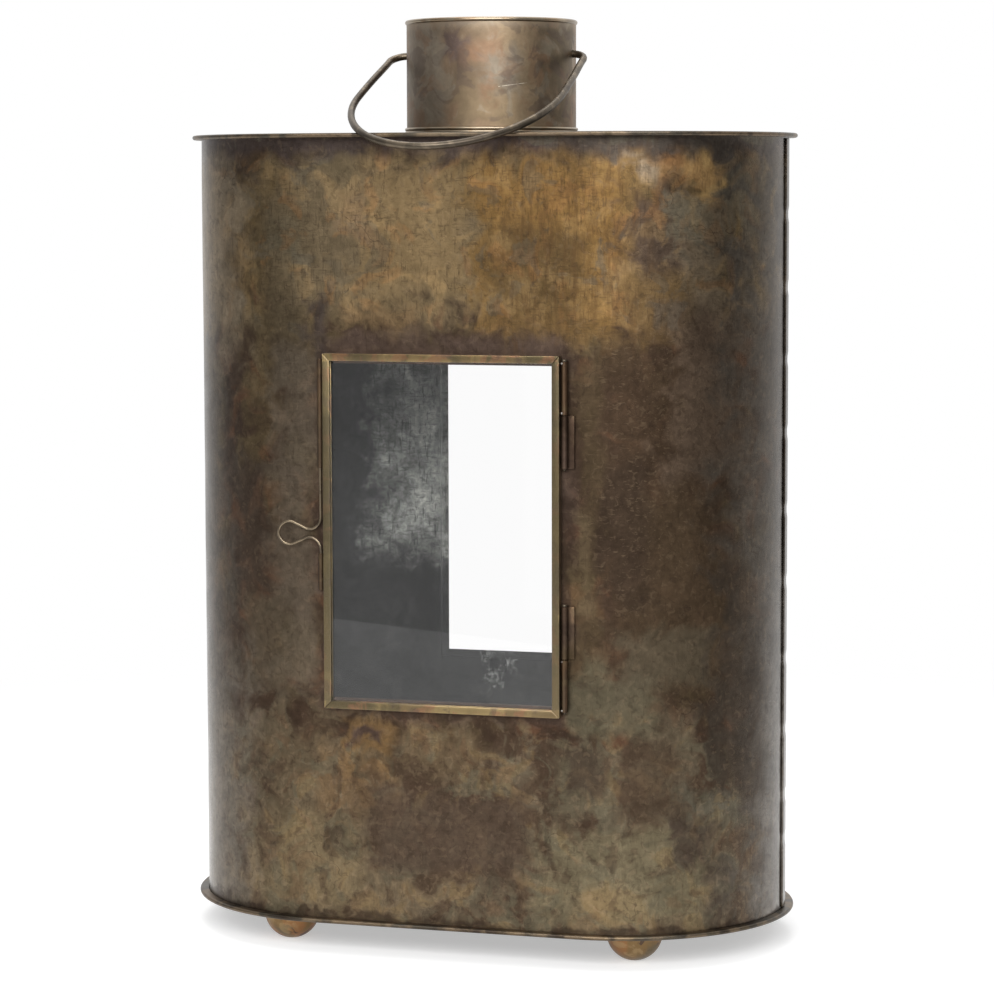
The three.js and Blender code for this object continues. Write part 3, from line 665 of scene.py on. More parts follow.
def lay_bands(patina):
    """The gold band under the top rim and the mottled lower third. Returns both masks."""
    shoulder = patina.within(z=(0.338, 0.43), softness=0.02, ragged=2.0, blur=0.3)
    patina.lay(OLIVE, 0.75, shoulder, patina.stain("clouds", "Blue", 0.38, 0.56))
    patina.lay(OLIVE_GOLD, 0.7, shoulder, patina.stain("clouds", "Red", 0.56, 0.44))
    lower = patina.within(z=(0.0, 0.12), softness=0.022, ragged=2.2, blur=0.24)
    patina.lay((0.1, 0.07, 0.045), 0.9, lower)
    patina.lay((0.13, 0.105, 0.07), 0.6, lower, patina.stain("blotches", "Red", 0.47, 0.53))
    patina.lay(UMBER, 0.7, lower, patina.stain("clouds", "Blue", 0.52, 0.55))
    hem = patina.within(z=(0.0, 0.046), softness=0.016, blur=0.3)
    patina.lay((0.17, 0.125, 0.075), 0.6, hem, patina.stain("blotches", "Green", 0.45, 0.55))
    return shoulder, lower


def lay_end_tone_and_painted_reflection(patina):
    """Painted reflection on the half-round ends: grey and pale tones that stand for the room and the
    floor mirrored at a glancing angle, over a little of the ends' own greyer tone.
    """
    # painted reflection on the left end, its shoulder and its foot, over its own greyer tone
    patina.coat((0.1, 0.086, 0.07), 0.8, x=(-0.3, -0.129), softness=0.02, blur=0.4)
    patina.coat((0.27, 0.21, 0.14), 0.8, x=(-0.3, -0.127), z=(0.33, 0.422), softness=0.028, blur=0.5)
    patina.coat((0.195, 0.168, 0.136), 0.7, x=(-0.3, -0.126), z=(0.0, 0.14), softness=0.03, blur=0.5)
    # painted reflection on the right end, and on its foot the painted reflection of the pale floor,
    # which fades upwards
    patina.coat((0.078, 0.066, 0.053), 0.92, x=(0.147, 0.3), softness=0.014, blur=0.5)
    foot = patina.within(x=(0.159, 0.3), z=(0.0, 0.25), softness=0.008, ragged=0.5, blur=0.7)
    upwards = ease(patina.tree, patina.warped["Z"], 0.24, 0.13)
    patina.lay((0.17, 0.155, 0.138), 0.9, foot, upwards)


def lay_halos_and_shadows(patina):
    """Heated metal round the door, the rear window and under the rims, and painted shadows under the
    top rim and beside the door frame.
    """
    # round the door, the dark wedge above its free side, and a painted shadow close to the frame
    around = {"x": (-0.066, 0.068), "z": (0.1285, 0.33), "softness": 0.009, "ragged": 1.0, "blur": 0.3}
    patina.coat((0.098, 0.067, 0.052), 0.9, y=AT_FRONT, **around)
    wedge = {"x": (-0.074, -0.064), "z": (0.3, 0.352), "softness": 0.008, "blur": 0.3}
    patina.coat((0.06, 0.045, 0.04), 0.85, y=AT_FRONT, **wedge)
    painted_frame_shadow = {"x": (-0.066, 0.069), "z": (0.128, 0.25), "softness": 0.003, "ragged": 0.6}
    patina.coat(DARK_UMBER, 0.5, y=AT_FRONT, **painted_frame_shadow)
    # round the rear window
    patina.coat(PLUM, 0.8, x=(-0.062, 0.062), y=AT_BACK, z=(0.132, 0.322), softness=0.01, blur=0.3)
    # under the top rim a dark band, partly heat tint and partly the rim's painted shadow, paler on the
    # right, and along the joint of the bottom rim
    patina.coat((0.062, 0.047, 0.043), 0.92, z=(0.4245, 0.5), softness=0.009, ragged=1.2, blur=0.34)
    patina.coat((0.088, 0.075, 0.061), 0.8, x=(0.06, 0.3), z=(0.427, 0.5), softness=0.01, blur=0.4)
    under_rim = patina.within(z=(0.4305, 0.5), softness=0.002)
    patina.lay(SLATE, 0.6, under_rim, patina.stain("blotches", "Green", 0.52, 0.56))
    patina.coat(DARK_UMBER, 0.65, z=(0.0, 0.0195), softness=0.004)


def lay_marks(patina, shoulder, lower):
    """Strokes, cracks, specks and scratches, with the relief they make."""
    tree, warped = patina.tree, patina.maps["Warped"]
    patina.mottle(patina.specks["Red"], 0.4)
    patina.mottle(patina.blotches["Green"], 0.5)
    fine = patina.strokes(0.0006, 0.66, 0.2)
    on_gold = calculate(tree, "MULTIPLY_ADD", shoulder, 0.2, 0.22)
    patina.lay(DARK_UMBER, on_gold, fine["Upright"], patina.stain("clouds", "Green", 0.36, 0.52))
    patina.lay(DARK_UMBER, on_gold, fine["Level"], patina.stain("clouds", "Blue", 0.42, 0.56))
    bold = patina.strokes(0.0011, 0.4, 0.35, warped)
    patina.lay(DARK_UMBER, 0.32, bold["Upright"], patina.stain("blotches", "Blue", 0.42, 0.56))
    patina.lay(DARK_UMBER, 0.24, bold["Level"], patina.stain("blotches", "Green", 0.5, 0.62))
    streaked = patina.within(x=(0.035, 0.104), y=AT_FRONT, z=(0.335, 0.425), softness=0.02, blur=0.4)
    streaks = patina.strokes(0.0016, 0.9, 0.1)
    patina.lay((0.1, 0.056, 0.026), 0.62, streaked, streaks["Upright"])
    cracks = patina.cracks(0.0042, 0.08, 0.5)
    patina.lay(DARK_UMBER, calculate(tree, "MULTIPLY_ADD", lower, 0.12, 0.05), cracks)
    patina.lay(DARK_UMBER, 0.6, patina.cracks(0.022, 0.016, 0.3))
    curls = patina.cracks(0.0033, 0.1, 0.36, warped)
    patina.lay(TAN, calculate(tree, "MULTIPLY_ADD", lower, 0.03, 0.015), curls)
    patina.lay(DARK_UMBER, 0.3, patina.stain("specks", "Green", 0.58, 0.68))
    patina.lay(TAN, 0.1, patina.stain("specks", "Blue", 0.58, 0.68))
    scuffed = patina.within(x=(0.08, 0.15), y=AT_FRONT, z=(0.2, 0.35), softness=0.03, blur=0.4)
    for degrees in (18, -68):
        values = {"turn": (0, math.radians(degrees), 0), "width": 0.0004, "amount": 0.66}
        lines = use_effect(tree, scratches, vector=patina.place, **values)["Mask"]
        patina.lay(TAN, 0.14, scuffed, lines)
    for mask in (fine["Upright"], bold["Upright"], cracks):
        patina.bump(mask, -0.00002)


def case_wall_finish():
    patina = Patina("case patina", UMBER)
    tree = patina.tree
    lay_ground(patina)
    shoulder, lower = lay_bands(patina)
    lay_stains(patina, SHOULDER_STAINS + SIDE_STAINS + LOWER_STAINS)
    patina.lay_list(SHOULDER_BLOTCHES, shoulder)
    patina.lay_list(LOWER_BLOTCHES, lower)
    lay_end_tone_and_painted_reflection(patina)
    lay_stains(patina, CALM_STAINS)
    lay_halos_and_shadows(patina)
    lay_marks(patina, shoulder, lower)
    patina.bump(patina.maps["Grain"], 0.00002)
    # the ends are smoother than the front, most of all near the floor
    where = axes(tree, patina.place)
    aside = calculate(tree, "ABSOLUTE", where["X"])
    near_end = ease(tree, aside, 0.135, 0.16)
    near_floor = ease(tree, where["Z"], 0.35, 0.1, 0.0, 0.1)
    low_ends = calculate(tree, "MULTIPLY", near_end, near_floor)
    smoother = calculate(tree, "ADD", ease(tree, aside, 0.12, 0.158, 0.0, 0.17), low_ends)
    return patina.finish(metallic=1.0, roughness=0.48, smoother=smoother)


case_patina = case_wall_finish()
print("finish:", case_patina.name)


# %% [markdown]
# ## Inside of the case
#
# Inside, nobody polished the sheet: it is grey from soot, with a paler crazed field on the back wall,
# palest in its middle. It is lit only through the two windows, so it is kept rather rough.

# %% Inside finish
SMALL_DABS = ((-0.031, 0.137), (-0.0245, 0.124), (-0.0145, 0.131))


def inside_finish():
    patina = Patina("soot inside", (0.034, 0.034, 0.032), size=1.3, warp=0.02)
    patina.lay((0.06, 0.06, 0.056), 0.6, patina.stain("clouds", "Green", 0.48, 0.58))
    # a dark corner and hem, then a paler field on the back wall left of the rear window, with a still
    # paler middle
    patina.coat((0.02, 0.02, 0.019), 0.75, x=(-0.3, -0.1), z=(0.1, 0.29), softness=0.014, blur=0.4)
    patina.coat((0.017, 0.017, 0.016), 0.8, y=AT_BACK, z=(0.1, 0.19), softness=0.012, blur=0.4)
    pale_field = {"x": (-0.096, -0.056), "z": (0.2, 0.4), "softness": 0.013, "blur": 0.5}
    patina.coat((0.17, 0.172, 0.158), 0.9, y=AT_BACK, **pale_field)
    pale = {"x": (-0.083, -0.055), "z": (0.208, 0.3), "softness": 0.018, "blur": 0.6}
    patina.coat((0.56, 0.566, 0.52), 0.85, y=AT_BACK, **pale)
    patina.lay((0.05, 0.05, 0.047), 0.4, patina.stain("blotches", "Blue", 0.5, 0.6))
    patina.mottle(patina.specks["Red"], 1.0)
    patina.mottle(patina.blotches["Green"], 0.8)
    fine = patina.strokes(0.0009, 0.6, 0.5)
    patina.lay((0.02, 0.02, 0.019), 0.7, fine["Upright"])
    patina.lay((0.02, 0.02, 0.019), 0.5, fine["Level"])
    patina.lay((0.015, 0.015, 0.014), 0.45, patina.cracks(0.005, 0.06, 0.5))
    # three pale dabs under the rear window
    dabs = {"vector": patina.maps["Warped"], "noise": patina.specks["Red"]}
    dabs |= {"half_size": (0.0002, 0.06, 0.001), "softness": 0.005, "ragged": 2.0, "blur": 0.5}
    for x, z in SMALL_DABS:
        dab = use_effect(patina.tree, zone, centre=(x, AT_BACK[1], z), **dabs)["Mask"]
        patina.lay((0.34, 0.34, 0.33), 0.8, dab)
    return patina.finish(metallic=0.4, roughness=0.55)


soot_inside = inside_finish()
print("finish:", soot_inside.name)


# %% [markdown]
# ## Rims, chimney, door frame, feet and wire
#
# The smaller pieces use the same recipe with fewer stains. The rims are dark and their folded edge is
# rubbed. The chimney is smooth, with patches of grey, rose and pale gold; over them, upright bands of
# painted light and shade, a lighter grey left third, a darker middle, a painted highlight right of the
# middle and painted shade at the right edge, move its highlight to the right. Its rolled bead and ring
# are brighter. The door's channel is yellower and carries heat tints, the feet are golden, the hinges
# are dark with a rubbed edge, and the bail's wire is darker than the pull's. The last five are only a
# ground with a few tones over it, so one function makes them from a list.

# %% Finishes of the smaller pieces
def rim_finish():
    patina = Patina("rim patina", (0.07, 0.06, 0.048), size=1.4)
    tree = patina.tree
    layers = [
        (DARK_UMBER, 0.6, "clouds", "Red", 0.42, 0.64),
        (OLIVE, 0.5, "blotches", "Green", 0.5, 0.66),
        (SLATE, 0.6, "clouds", "Blue", 0.45, 0.67),
    ]
    patina.lay_list(layers)
    # only the folded edge is rubbed, below the level of the plate's flat
    height = axes(tree, patina.place)["Z"]
    from_middle = calculate(tree, "SUBTRACT", height, (CASE_TOP + CASE_BOTTOM) / 2)
    from_middle = calculate(tree, "ABSOLUTE", from_middle)
    half_height = (CASE_TOP - CASE_BOTTOM) / 2
    on_fold = ease(tree, from_middle, half_height - 0.0001, half_height - 0.0005)
    patina.lay(TAN, 0.4, on_fold, patina.stain("blotches", "Red", 0.42, 0.58))
    patina.bump(patina.maps["Grain"], 0.00002)
    return patina.finish(metallic=1.0, roughness=0.42)


# a bright nick in the chimney's front, tilted by this angle
NICK_TILT = math.radians(9)
NICK = tuple(Matrix.Rotation(NICK_TILT, 3, "Y") @ Vector((0.0235, MIDDLE_Y - 0.04, 0.4617)))
# the first four rows are upright bands of painted light and shade, not stains: a lighter grey left
# third, a darker middle, a painted highlight right of the middle and painted shade at the right edge,
# which move the chimney's highlight to the right; the last four rows are stains
CHIMNEY_STAINS_AND_PAINTED_LIGHT = [
    ((0.25, 0.209, 0.16), 0.85, (-45, -14), (440, 495), 9),
    ((0.18, 0.135, 0.09), 0.6, (-8, 10), (440, 495), 8),
    ((0.345, 0.259, 0.164), 0.8, (16, 34), (440, 495), 6),
    ((0.15, 0.12, 0.08), 0.8, (37, 45), (440, 495), 5),
    ((0.15, 0.108, 0.098), 0.75, (-9, 1), (474, 488), 5),
    ((0.27, 0.17, 0.108), 0.7, (1, 15), (471, 486), 5),
    ((0.25, 0.215, 0.167), 0.8, (8, 24), (459, 477), 6),
    ((0.245, 0.182, 0.112), 0.8, (-9, 25), (441, 458), 6),
]


def chimney_finish():
    patina = Patina("chimney patina", (0.24, 0.175, 0.115), size=1.3)
    tree = patina.tree
    patina.lay((0.17, 0.135, 0.1), 0.7, patina.stain("clouds", "Red", 0.48, 0.6))
    patina.lay((0.27, 0.18, 0.115), 0.7, patina.stain("clouds", "Green", 0.46, 0.6))
    # stains, and upright bands of painted light and shade that move the highlight to the right
    lay_stains(patina, CHIMNEY_STAINS_AND_PAINTED_LIGHT, depth=(MIDDLE_Y - 0.07, MIDDLE_Y))
    layers = [
        ((0.26, 0.15, 0.09), 0.4, "blotches", "Green", 0.54, 0.62),
        ((0.13, 0.095, 0.08), 0.45, "blotches", "Red", 0.54, 0.6),
        ((0.27, 0.235, 0.18), 0.4, "blotches", "Blue", 0.55, 0.62),
    ]
    patina.lay_list(layers)
    patina.mottle(patina.specks["Green"], 0.16)
    patina.mottle(patina.blotches["Blue"], 0.4)
    patina.lay(UMBER, 0.14, patina.strokes(0.0007, 0.4, 0.2)["Upright"])
    sockets = {"Vector": patina.place, "Rotation": (0, NICK_TILT, 0)}
    tilted = add_node(tree, "ShaderNodeMapping", sockets).outputs["Vector"]
    nick = {"centre": NICK, "half_size": (0.0068, 0.02, 0.0001), "noise": patina.maps["Grain"]}
    mark = use_effect(tree, zone, vector=tilted, softness=0.0003, ragged=1.0, **nick)["Mask"]
    patina.lay((0.7, 0.62, 0.5), 0.8, mark)
    patina.lay(BRIGHT, 0.3, patina.rubbed())
    patina.bump(patina.maps["Grain"], 0.000006)
    return patina.finish(metallic=1.0, roughness=0.5, spread=0.1)


def channel_finish():
    patina = Patina("door frame brass", (0.2, 0.14, 0.065), size=1.6, warp=0.006)
    layers = [
        ((0.115, 0.092, 0.045), 0.85, "clouds", "Red", 0.47, 0.54),
        ((0.36, 0.26, 0.11), 0.7, "clouds", "Green", 0.52, 0.6),
        ((0.3, 0.14, 0.075), 0.6, "blotches", "Blue", 0.53, 0.6),
        (PLUM, 0.55, "blotches", "Red", 0.56, 0.64),
    ]
    patina.lay_list(layers)
    # the upright channels are duller between their mitres
    for side in ("left", "right"):
        low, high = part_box("door_channel_" + side)
        x, z = (low.x - 0.001, high.x + 0.0002), (low.z + 0.004, high.z - 0.004)
        patina.coat((0.1, 0.08, 0.042), 0.72, x=x, z=z, softness=0.001, ragged=0.4)
    patina.lay(BRIGHT, 0.28, patina.rubbed())
    patina.bump(patina.maps["Grain"], 0.00001)
    return patina.finish(metallic=1.0, roughness=0.38)


def hinge_finish():
    patina = Patina("hinge brass", (0.054, 0.035, 0.024), size=2.4, warp=0.004)
    patina.lay((0.11, 0.06, 0.034), 0.6, patina.stain("clouds", "Green", 0.48, 0.58))
    patina.lay(OLIVE, 0.5, patina.stain("blotches", "Green", 0.54, 0.62))
    patina.lay(TAN, 0.2, patina.rubbed(start=0.54, end=0.62))
    patina.bump(patina.maps["Grain"], 0.00002)
    return patina.finish(metallic=1.0, roughness=0.42)


def plain_finish(name, ground, layers, size, relief, roughness, spread=0.2):
    """A ground, a few tones over it and a fine relief."""
    patina = Patina(name, ground, size=size)
    patina.lay_list(layers)
    patina.bump(patina.maps["Grain"], relief)
    return patina.finish(metallic=1.0, roughness=roughness, spread=spread)


ROLLED_TONES = [
    ((0.2, 0.16, 0.12), 0.7, "clouds", "Red", 0.5, 0.6),
    ((0.3, 0.2, 0.12), 0.5, "blotches", "Green", 0.52, 0.6),
]
FOOT_TONES = [
    ((0.32, 0.15, 0.065), 0.7, "clouds", "Green", 0.49, 0.57),
    (VERDIGRIS, 0.6, "clouds", "Red", 0.53, 0.6),
    (PLUM, 0.8, "blotches", "Red", 0.55, 0.62),
    (PALE_GOLD, 0.5, "blotches", "Green", 0.52, 0.62),
]
BRIGHT_WIRE_TONES = [((0.1, 0.08, 0.06), 0.7, "blotches", "Red", 0.48, 0.58)]
DARK_WIRE_TONES = [
    ((0.22, 0.175, 0.125), 0.6, "blotches", "Green", 0.5, 0.62),
    ((0.06, 0.048, 0.038), 0.6, "clouds", "Red", 0.5, 0.6),
]
SOLDER_TONES = [(PLUM, 0.7, "blotches", "Red", 0.48, 0.56)]

rim_patina = rim_finish()
chimney_patina = chimney_finish()
frame_brass = channel_finish()
hinge_brass = hinge_finish()
# name, ground, tones, size of the stains, relief, roughness
rolled = ("rolled brass", (0.33, 0.27, 0.195), ROLLED_TONES, 1.5, 0.000006, 0.32)
rolled_brass = plain_finish(*rolled, spread=0.1)
foot_brass = plain_finish("foot brass", (0.22, 0.14, 0.065), FOOT_TONES, 2.2, 0.00003, 0.42)
bright_wire = plain_finish("bright wire", (0.24, 0.19, 0.13), BRIGHT_WIRE_TONES, 2.0, 0.00001, 0.34)
dark_wire = plain_finish("dark wire", (0.11, 0.09, 0.067), DARK_WIRE_TONES, 2.0, 0.00001, 0.42)
solder = plain_finish("solder", (0.3, 0.28, 0.26), SOLDER_TONES, 3.0, 0.00006, 0.34)
finishes = [rim_patina, chimney_patina, frame_brass, hinge_brass]
finishes += [rolled_brass, foot_brass, bright_wire, dark_wire, solder]
print("finishes:", [finish.name for finish in finishes])

# %% [markdown]
# ## Glass
#
# A pane mirrors a little of what stands in front of it, and the pale floor shows in the door's pane as
# a grey veil. The rear pane is turned to the bright backdrop and must hardly show, so it bends the
# light less than glass does, and mirrors less of it. Light has to get through to the inside: for shadow
# rays a pane is simply clear, because otherwise it would cast the shadow of a solid plate. Faint
# smudges change only the roughness.


# %% Glass
GLASS_BENDING = 1.45
REAR_BENDING = 1.15


def glass_finish(name, bending):
    material, tree, shader = new_material(name)
    set_values(shader, base_color=(1.0, 1.0, 1.0, 1.0), metallic=0.0, transmission_weight=1.0)
    shader.inputs["IOR"].default_value = bending
    smudges = add_noise(tree, object_place(tree), 70.0, 3.0)["Fac"]
    tree.links.new(ease(tree, smudges, 0.6, 0.75, 0.0, 0.02), shader.inputs["Roughness"])
    clear = add_node(tree, "ShaderNodeBsdfTransparent")
    is_shadow = add_node(tree, "ShaderNodeLightPath").outputs["Is Shadow Ray"]
    sockets = {0: is_shadow, 1: shader.outputs[0], 2: clear.outputs[0]}
    pane = add_node(tree, "ShaderNodeMixShader", sockets)
    tree.links.new(pane.outputs[0], tree.nodes["Material Output"].inputs["Surface"])
    return material


front_glass = glass_finish("door pane glass", GLASS_BENDING)
rear_glass = glass_finish("rear pane glass", REAR_BENDING)
print("finishes:", front_glass.name, rear_glass.name)


# %% [markdown]
# ## Modelling helpers
#
# Nearly everything here is sheet, tube or wire. An outline is drawn by extruding one point from corner
# to corner. Spun all the way round an axis it is a turned piece. Spun half way and then drawn in to the
# middle and mirrored, it is a flask-shaped one. The wires are curves with a thickness, and come later.

# %% Modelling helpers
MERGE = 0.000001
END_STEPS = 60


def deselect_all():
    if bpy.context.object and bpy.context.object.mode != "OBJECT":
        bpy.ops.object.mode_set(mode="OBJECT")
    bpy.ops.object.select_all(action="DESELECT")


def pick(piece, *others):
    """Selects the pieces and nothing else, and makes the first one active."""
    deselect_all()
    for one in (piece, *others):
        one.select_set(True)
    bpy.context.view_layer.objects.active = piece


def join(piece, other):
    """Makes the other one part of a piece."""
    pick(piece, other)
    bpy.ops.object.join()


def edit(piece):
    """Edits one piece, with nothing of it selected."""
    pick(piece)
    bpy.ops.object.mode_set(mode="EDIT")
    bpy.ops.mesh.select_mode(type="VERT")
    bpy.ops.mesh.select_all(action="DESELECT")


def select_where(kind, parts, test):
    """In edit mode, selects the points or faces that pass the test, and nothing else."""
    bpy.ops.mesh.select_mode(type=kind)
    bpy.ops.mesh.select_all(action="DESELECT")
    bpy.ops.object.mode_set(mode="OBJECT")
    for part in parts:
        part.select = test(part)
    bpy.ops.object.mode_set(mode="EDIT")


def select_points(piece, test):
    select_where("VERT", piece.data.vertices, lambda point: test(point.co))


def draw(name, points, closed=False):
    """A line of edges from corner to corner, left in edit mode with all of it selected."""
    deselect_all()
    bpy.ops.mesh.primitive_plane_add(size=0.01, location=(0, 0, 0))
    piece = bpy.context.object
    piece.name = name
    piece.data.name = name
    bpy.ops.object.mode_set(mode="EDIT")
    bpy.ops.mesh.merge(type="CENTER")
    bpy.ops.transform.translate(value=points[0])
    if closed:
        points = [*points, points[0]]
    for before, after in zip(points, points[1:]):
        move = {"value": after - before}
        bpy.ops.mesh.extrude_vertices_move(TRANSFORM_OT_translate=move)
    bpy.ops.mesh.select_all(action="SELECT")
    bpy.ops.mesh.remove_doubles(threshold=MERGE)
    return piece


def modify(piece, kind, **settings):
    """Adds a modifier with its settings and applies it."""
    pick(piece)
    bpy.ops.object.modifier_add(type=kind)
    modifier = piece.modifiers[-1]
    for setting, value in settings.items():
        setattr(modifier, setting, value)
    bpy.ops.object.modifier_apply(modifier=modifier.name)


def round_edges(piece, width, segments=2, angle=30):
    """Rounds the edges that are sharper than the angle, in degrees."""
    limits = {"limit_method": "ANGLE", "angle_limit": math.radians(angle)}
    modify(piece, "BEVEL", width=width, segments=segments, **limits)


def thicken(piece, outer):
    """Gives a skin the sheet's thickness, with its finish outside and soot inside."""
    piece.data.materials.append(outer)
    piece.data.materials.append(soot_inside)
    modify(piece, "SOLIDIFY", thickness=SHEET, offset=-1.0, use_even_offset=True, material_offset=1)


def close_up(piece):
    """Merges doubles and turns all faces outwards, which a look at the foremost face confirms."""
    edit(piece)
    bpy.ops.mesh.select_all(action="SELECT")
    bpy.ops.mesh.remove_doubles(threshold=MERGE)
    bpy.ops.mesh.normals_make_consistent(inside=False)
    bpy.ops.object.mode_set(mode="OBJECT")
    upright = [face for face in piece.data.polygons if abs(face.normal.y) > 0.9]
    foremost = min(upright, key=lambda face: face.center.y, default=None)
    if foremost and foremost.normal.y > 0:
        edit(piece)
        bpy.ops.mesh.select_all(action="SELECT")
        bpy.ops.mesh.flip_normals()
        bpy.ops.object.mode_set(mode="OBJECT")


def settle(piece, finish, body, slot, *nodes, angle=35):
    """Puts a finished piece into use: its finish, its smoothness, its body, and what it stands for."""
    pick(piece)
    bpy.ops.object.transform_apply(location=True, rotation=True, scale=True)
    bpy.ops.object.shade_smooth_by_angle(angle=math.radians(angle))
    if not piece.data.materials:
        piece.data.materials.append(finish)
    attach(piece, body)
    if nodes:
        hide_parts(*nodes)
    print(f"made {piece.name}: {len(piece.data.polygons)} faces")


def turn(name, outline, axis, steps, closed=True):
    """A turned piece. Its outline is (distance from the axis, height), its axis a place (x, y)."""
    x, y = axis
    piece = draw(name, [Vector((x, y - out, z)) for out, z in outline], closed)
    bpy.ops.mesh.spin(steps=steps, angle=2 * math.pi, center=(x, y, 0), axis=(0, 0, 1))
    close_up(piece)
    return piece


def flask(name, outline, columns, closed=False):
    """A flask-shaped piece. The outline is (distance from the end's axis, height). It is spun round
    the end, drawn in column by column to the middle, and mirrored."""
    piece = draw(name, [Vector((END_X, MIDDLE_Y - out, z)) for out, z in outline], closed)
    bpy.ops.mesh.spin(steps=END_STEPS, angle=-math.pi, center=(END_X, MIDDLE_Y, 0), axis=(0, 0, 1))
    bpy.ops.mesh.select_all(action="SELECT")
    bpy.ops.mesh.remove_doubles(threshold=MERGE)
    select_points(piece, lambda point: abs(point.x - END_X) < MERGE * 10)
    bpy.ops.mesh.select_mode(type="EDGE")
    for before, after in zip([END_X, *columns], [*columns, 0.0]):
        move = {"value": (after - before, 0, 0)}
        bpy.ops.mesh.extrude_edges_move(TRANSFORM_OT_translate=move)
    bpy.ops.object.mode_set(mode="OBJECT")
    modify(piece, "MIRROR", use_axis=(True, False, False), merge_threshold=MERGE * 10)
    close_up(piece)
    return piece


def arc(centre, radius, start, end, steps):
    """Points (out, height) along an arc, from one angle in degrees to another."""
    out, height = centre
    angles = [math.radians(start + (end - start) * step / steps) for step in range(steps + 1)]
    return [(out + radius * math.cos(angle), height + radius * math.sin(angle)) for angle in angles]


def steps_between(low, high, spacing):
    """Even steps from low to high, no further apart than the spacing, without the last."""
    count = max(1, math.ceil(abs(high - low) / spacing))
    return [low + (high - low) * step / count for step in range(count)]


def middle_of(node):
    """The middle of a node's box, seen from above."""
    low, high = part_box(node)
    return ((low.x + high.x) / 2, (low.y + high.y) / 2)


print("modelling helpers ready")

# %% [markdown]
# ## Case wall
#
# The wall is one sheet bent into a flask shape. A line drawn from the lower flange up to the upper one
# is spun round the right end and drawn in to the middle. Its points and columns are placed so that the
# edges of both openings fall on them, and the faces inside are deleted. Then the sheet gets gentle
# dents, kept away from the rims, the door and the seam, and last its thickness, with its inner side in
# soot.

# %% Case wall
GRID = 0.006
FLANGE_EDGE = END_RADIUS + RIM_OVERHANG - SHEET - JOINT_GAP
LOWER_FLANGE = CASE_BOTTOM + SHEET + JOINT_GAP + SHEET
UPPER_FLANGE = CASE_TOP - SHEET - JOINT_GAP - SHEET
BEND = 0.0006
BEND_STEPS = 3
DOOR_LAP = 0.0035
DOOR_LAP_BELOW = 0.0056
DOOR_LAP_ABOVE = 0.0054
REAR_GLASS_LAP = 0.004
DENT_DEPTH = 0.0007
DENT_SIZE = 0.085
DENT_MARGIN = 0.03
FREE_TO_DENT = "free to dent"

door_low = Vector(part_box("door_channel_bottom")[0])
door_high = Vector(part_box("door_channel_top")[1])
front_low = (door_low.x + DOOR_LAP, door_low.z + DOOR_LAP_BELOW)
front_high = (door_high.x - DOOR_LAP, door_high.z - DOOR_LAP_ABOVE)
pane_low, pane_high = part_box("rear_glass")
rear_low = (pane_low.x + REAR_GLASS_LAP, pane_low.z + REAR_GLASS_LAP)
rear_high = (pane_high.x - REAR_GLASS_LAP, pane_high.z - REAR_GLASS_LAP)


def wall_outline():
    lowest, highest = LOWER_FLANGE + BEND, UPPER_FLANGE - BEND
    heights = [lowest, front_low[1], rear_low[1], rear_high[1], front_high[1], highest]
    outline = [(FLANGE_EDGE, LOWER_FLANGE), (END_RADIUS + BEND, LOWER_FLANGE)]
    outline += arc((END_RADIUS + BEND, lowest), BEND, 270, 180, BEND_STEPS)[1:-1]
    for low, high in zip(heights, heights[1:]):
        outline += [(END_RADIUS, height) for height in steps_between(low, high, GRID)]
    outline.append((END_RADIUS, highest))
    outline += arc((END_RADIUS + BEND, highest), BEND, 180, 90, BEND_STEPS)[1:]
    return [*outline, (FLANGE_EDGE, UPPER_FLANGE)]


def wall_columns():
    stops = [END_X, front_high[0], rear_high[0], 0.0]
    columns = []
    for high, low in zip(stops, stops[1:]):
        columns += steps_between(high, low, GRID)
    return columns[1:]


wall = flask("case_wall_sheet", wall_outline(), wall_columns())
edit(wall)


def in_opening(place):
    if place.y < MIDDLE_Y:
        low, high = front_low, front_high
    else:
        low, high = rear_low, rear_high
    return low[0] < place.x < high[0] and low[1] < place.z < high[1]


select_where("FACE", wall.data.polygons, lambda face: in_opening(face.center))
bpy.ops.mesh.delete(type="FACE")
bpy.ops.object.mode_set(mode="OBJECT")

free = wall.vertex_groups.new(name=FREE_TO_DENT)
for point in wall.data.vertices:
    from_rims = min(point.co.z - CASE_BOTTOM, CASE_TOP - point.co.z) - RIM_HEIGHT
    beside = max(abs(point.co.x) - door_high.x, door_low.z - point.co.z, point.co.z - door_high.z)
    from_seam = math.hypot(point.co.x - END_X - END_RADIUS, point.co.y - MIDDLE_Y)
    room = min(from_rims, beside, from_seam)
    free.add([point.index], min(max(room / DENT_MARGIN, 0.0), 1.0), "REPLACE")
dents = bpy.data.textures.new("wall dents", "CLOUDS")
dents.noise_scale = DENT_SIZE
dented = {"texture": dents, "strength": DENT_DEPTH, "mid_level": 0.5, "vertex_group": FREE_TO_DENT}
modify(wall, "DISPLACE", **dented)
close_up(wall)
thicken(wall, case_patina)
settle(wall, case_patina, "case", "case_brass", "case_wall")

# %% [markdown]
# ## Lock seam
#
# Where the sheet's two ends meet, at the middle of the right-hand end, they are hooked into each other
# and hammered flat. Outside it is a raised strip 8 mm wide with round edges, and the hammer has left
# shallow crimps along it.

# %% Lock seam
SEAM_WIDTH = 0.008
SEAM_THICKNESS = 0.0012
SEAM_END_GAP = 0.0005
SEAM_ROW = 0.003
SEAM_STEPS = 6
CRIMP_HEIGHTS = (0.055, 0.081, 0.115, 0.154, 0.197, 0.236, 0.277, 0.315, 0.355, 0.394)
CRIMP_DEPTH = 0.0004
SEAM_ROUND = 0.0004

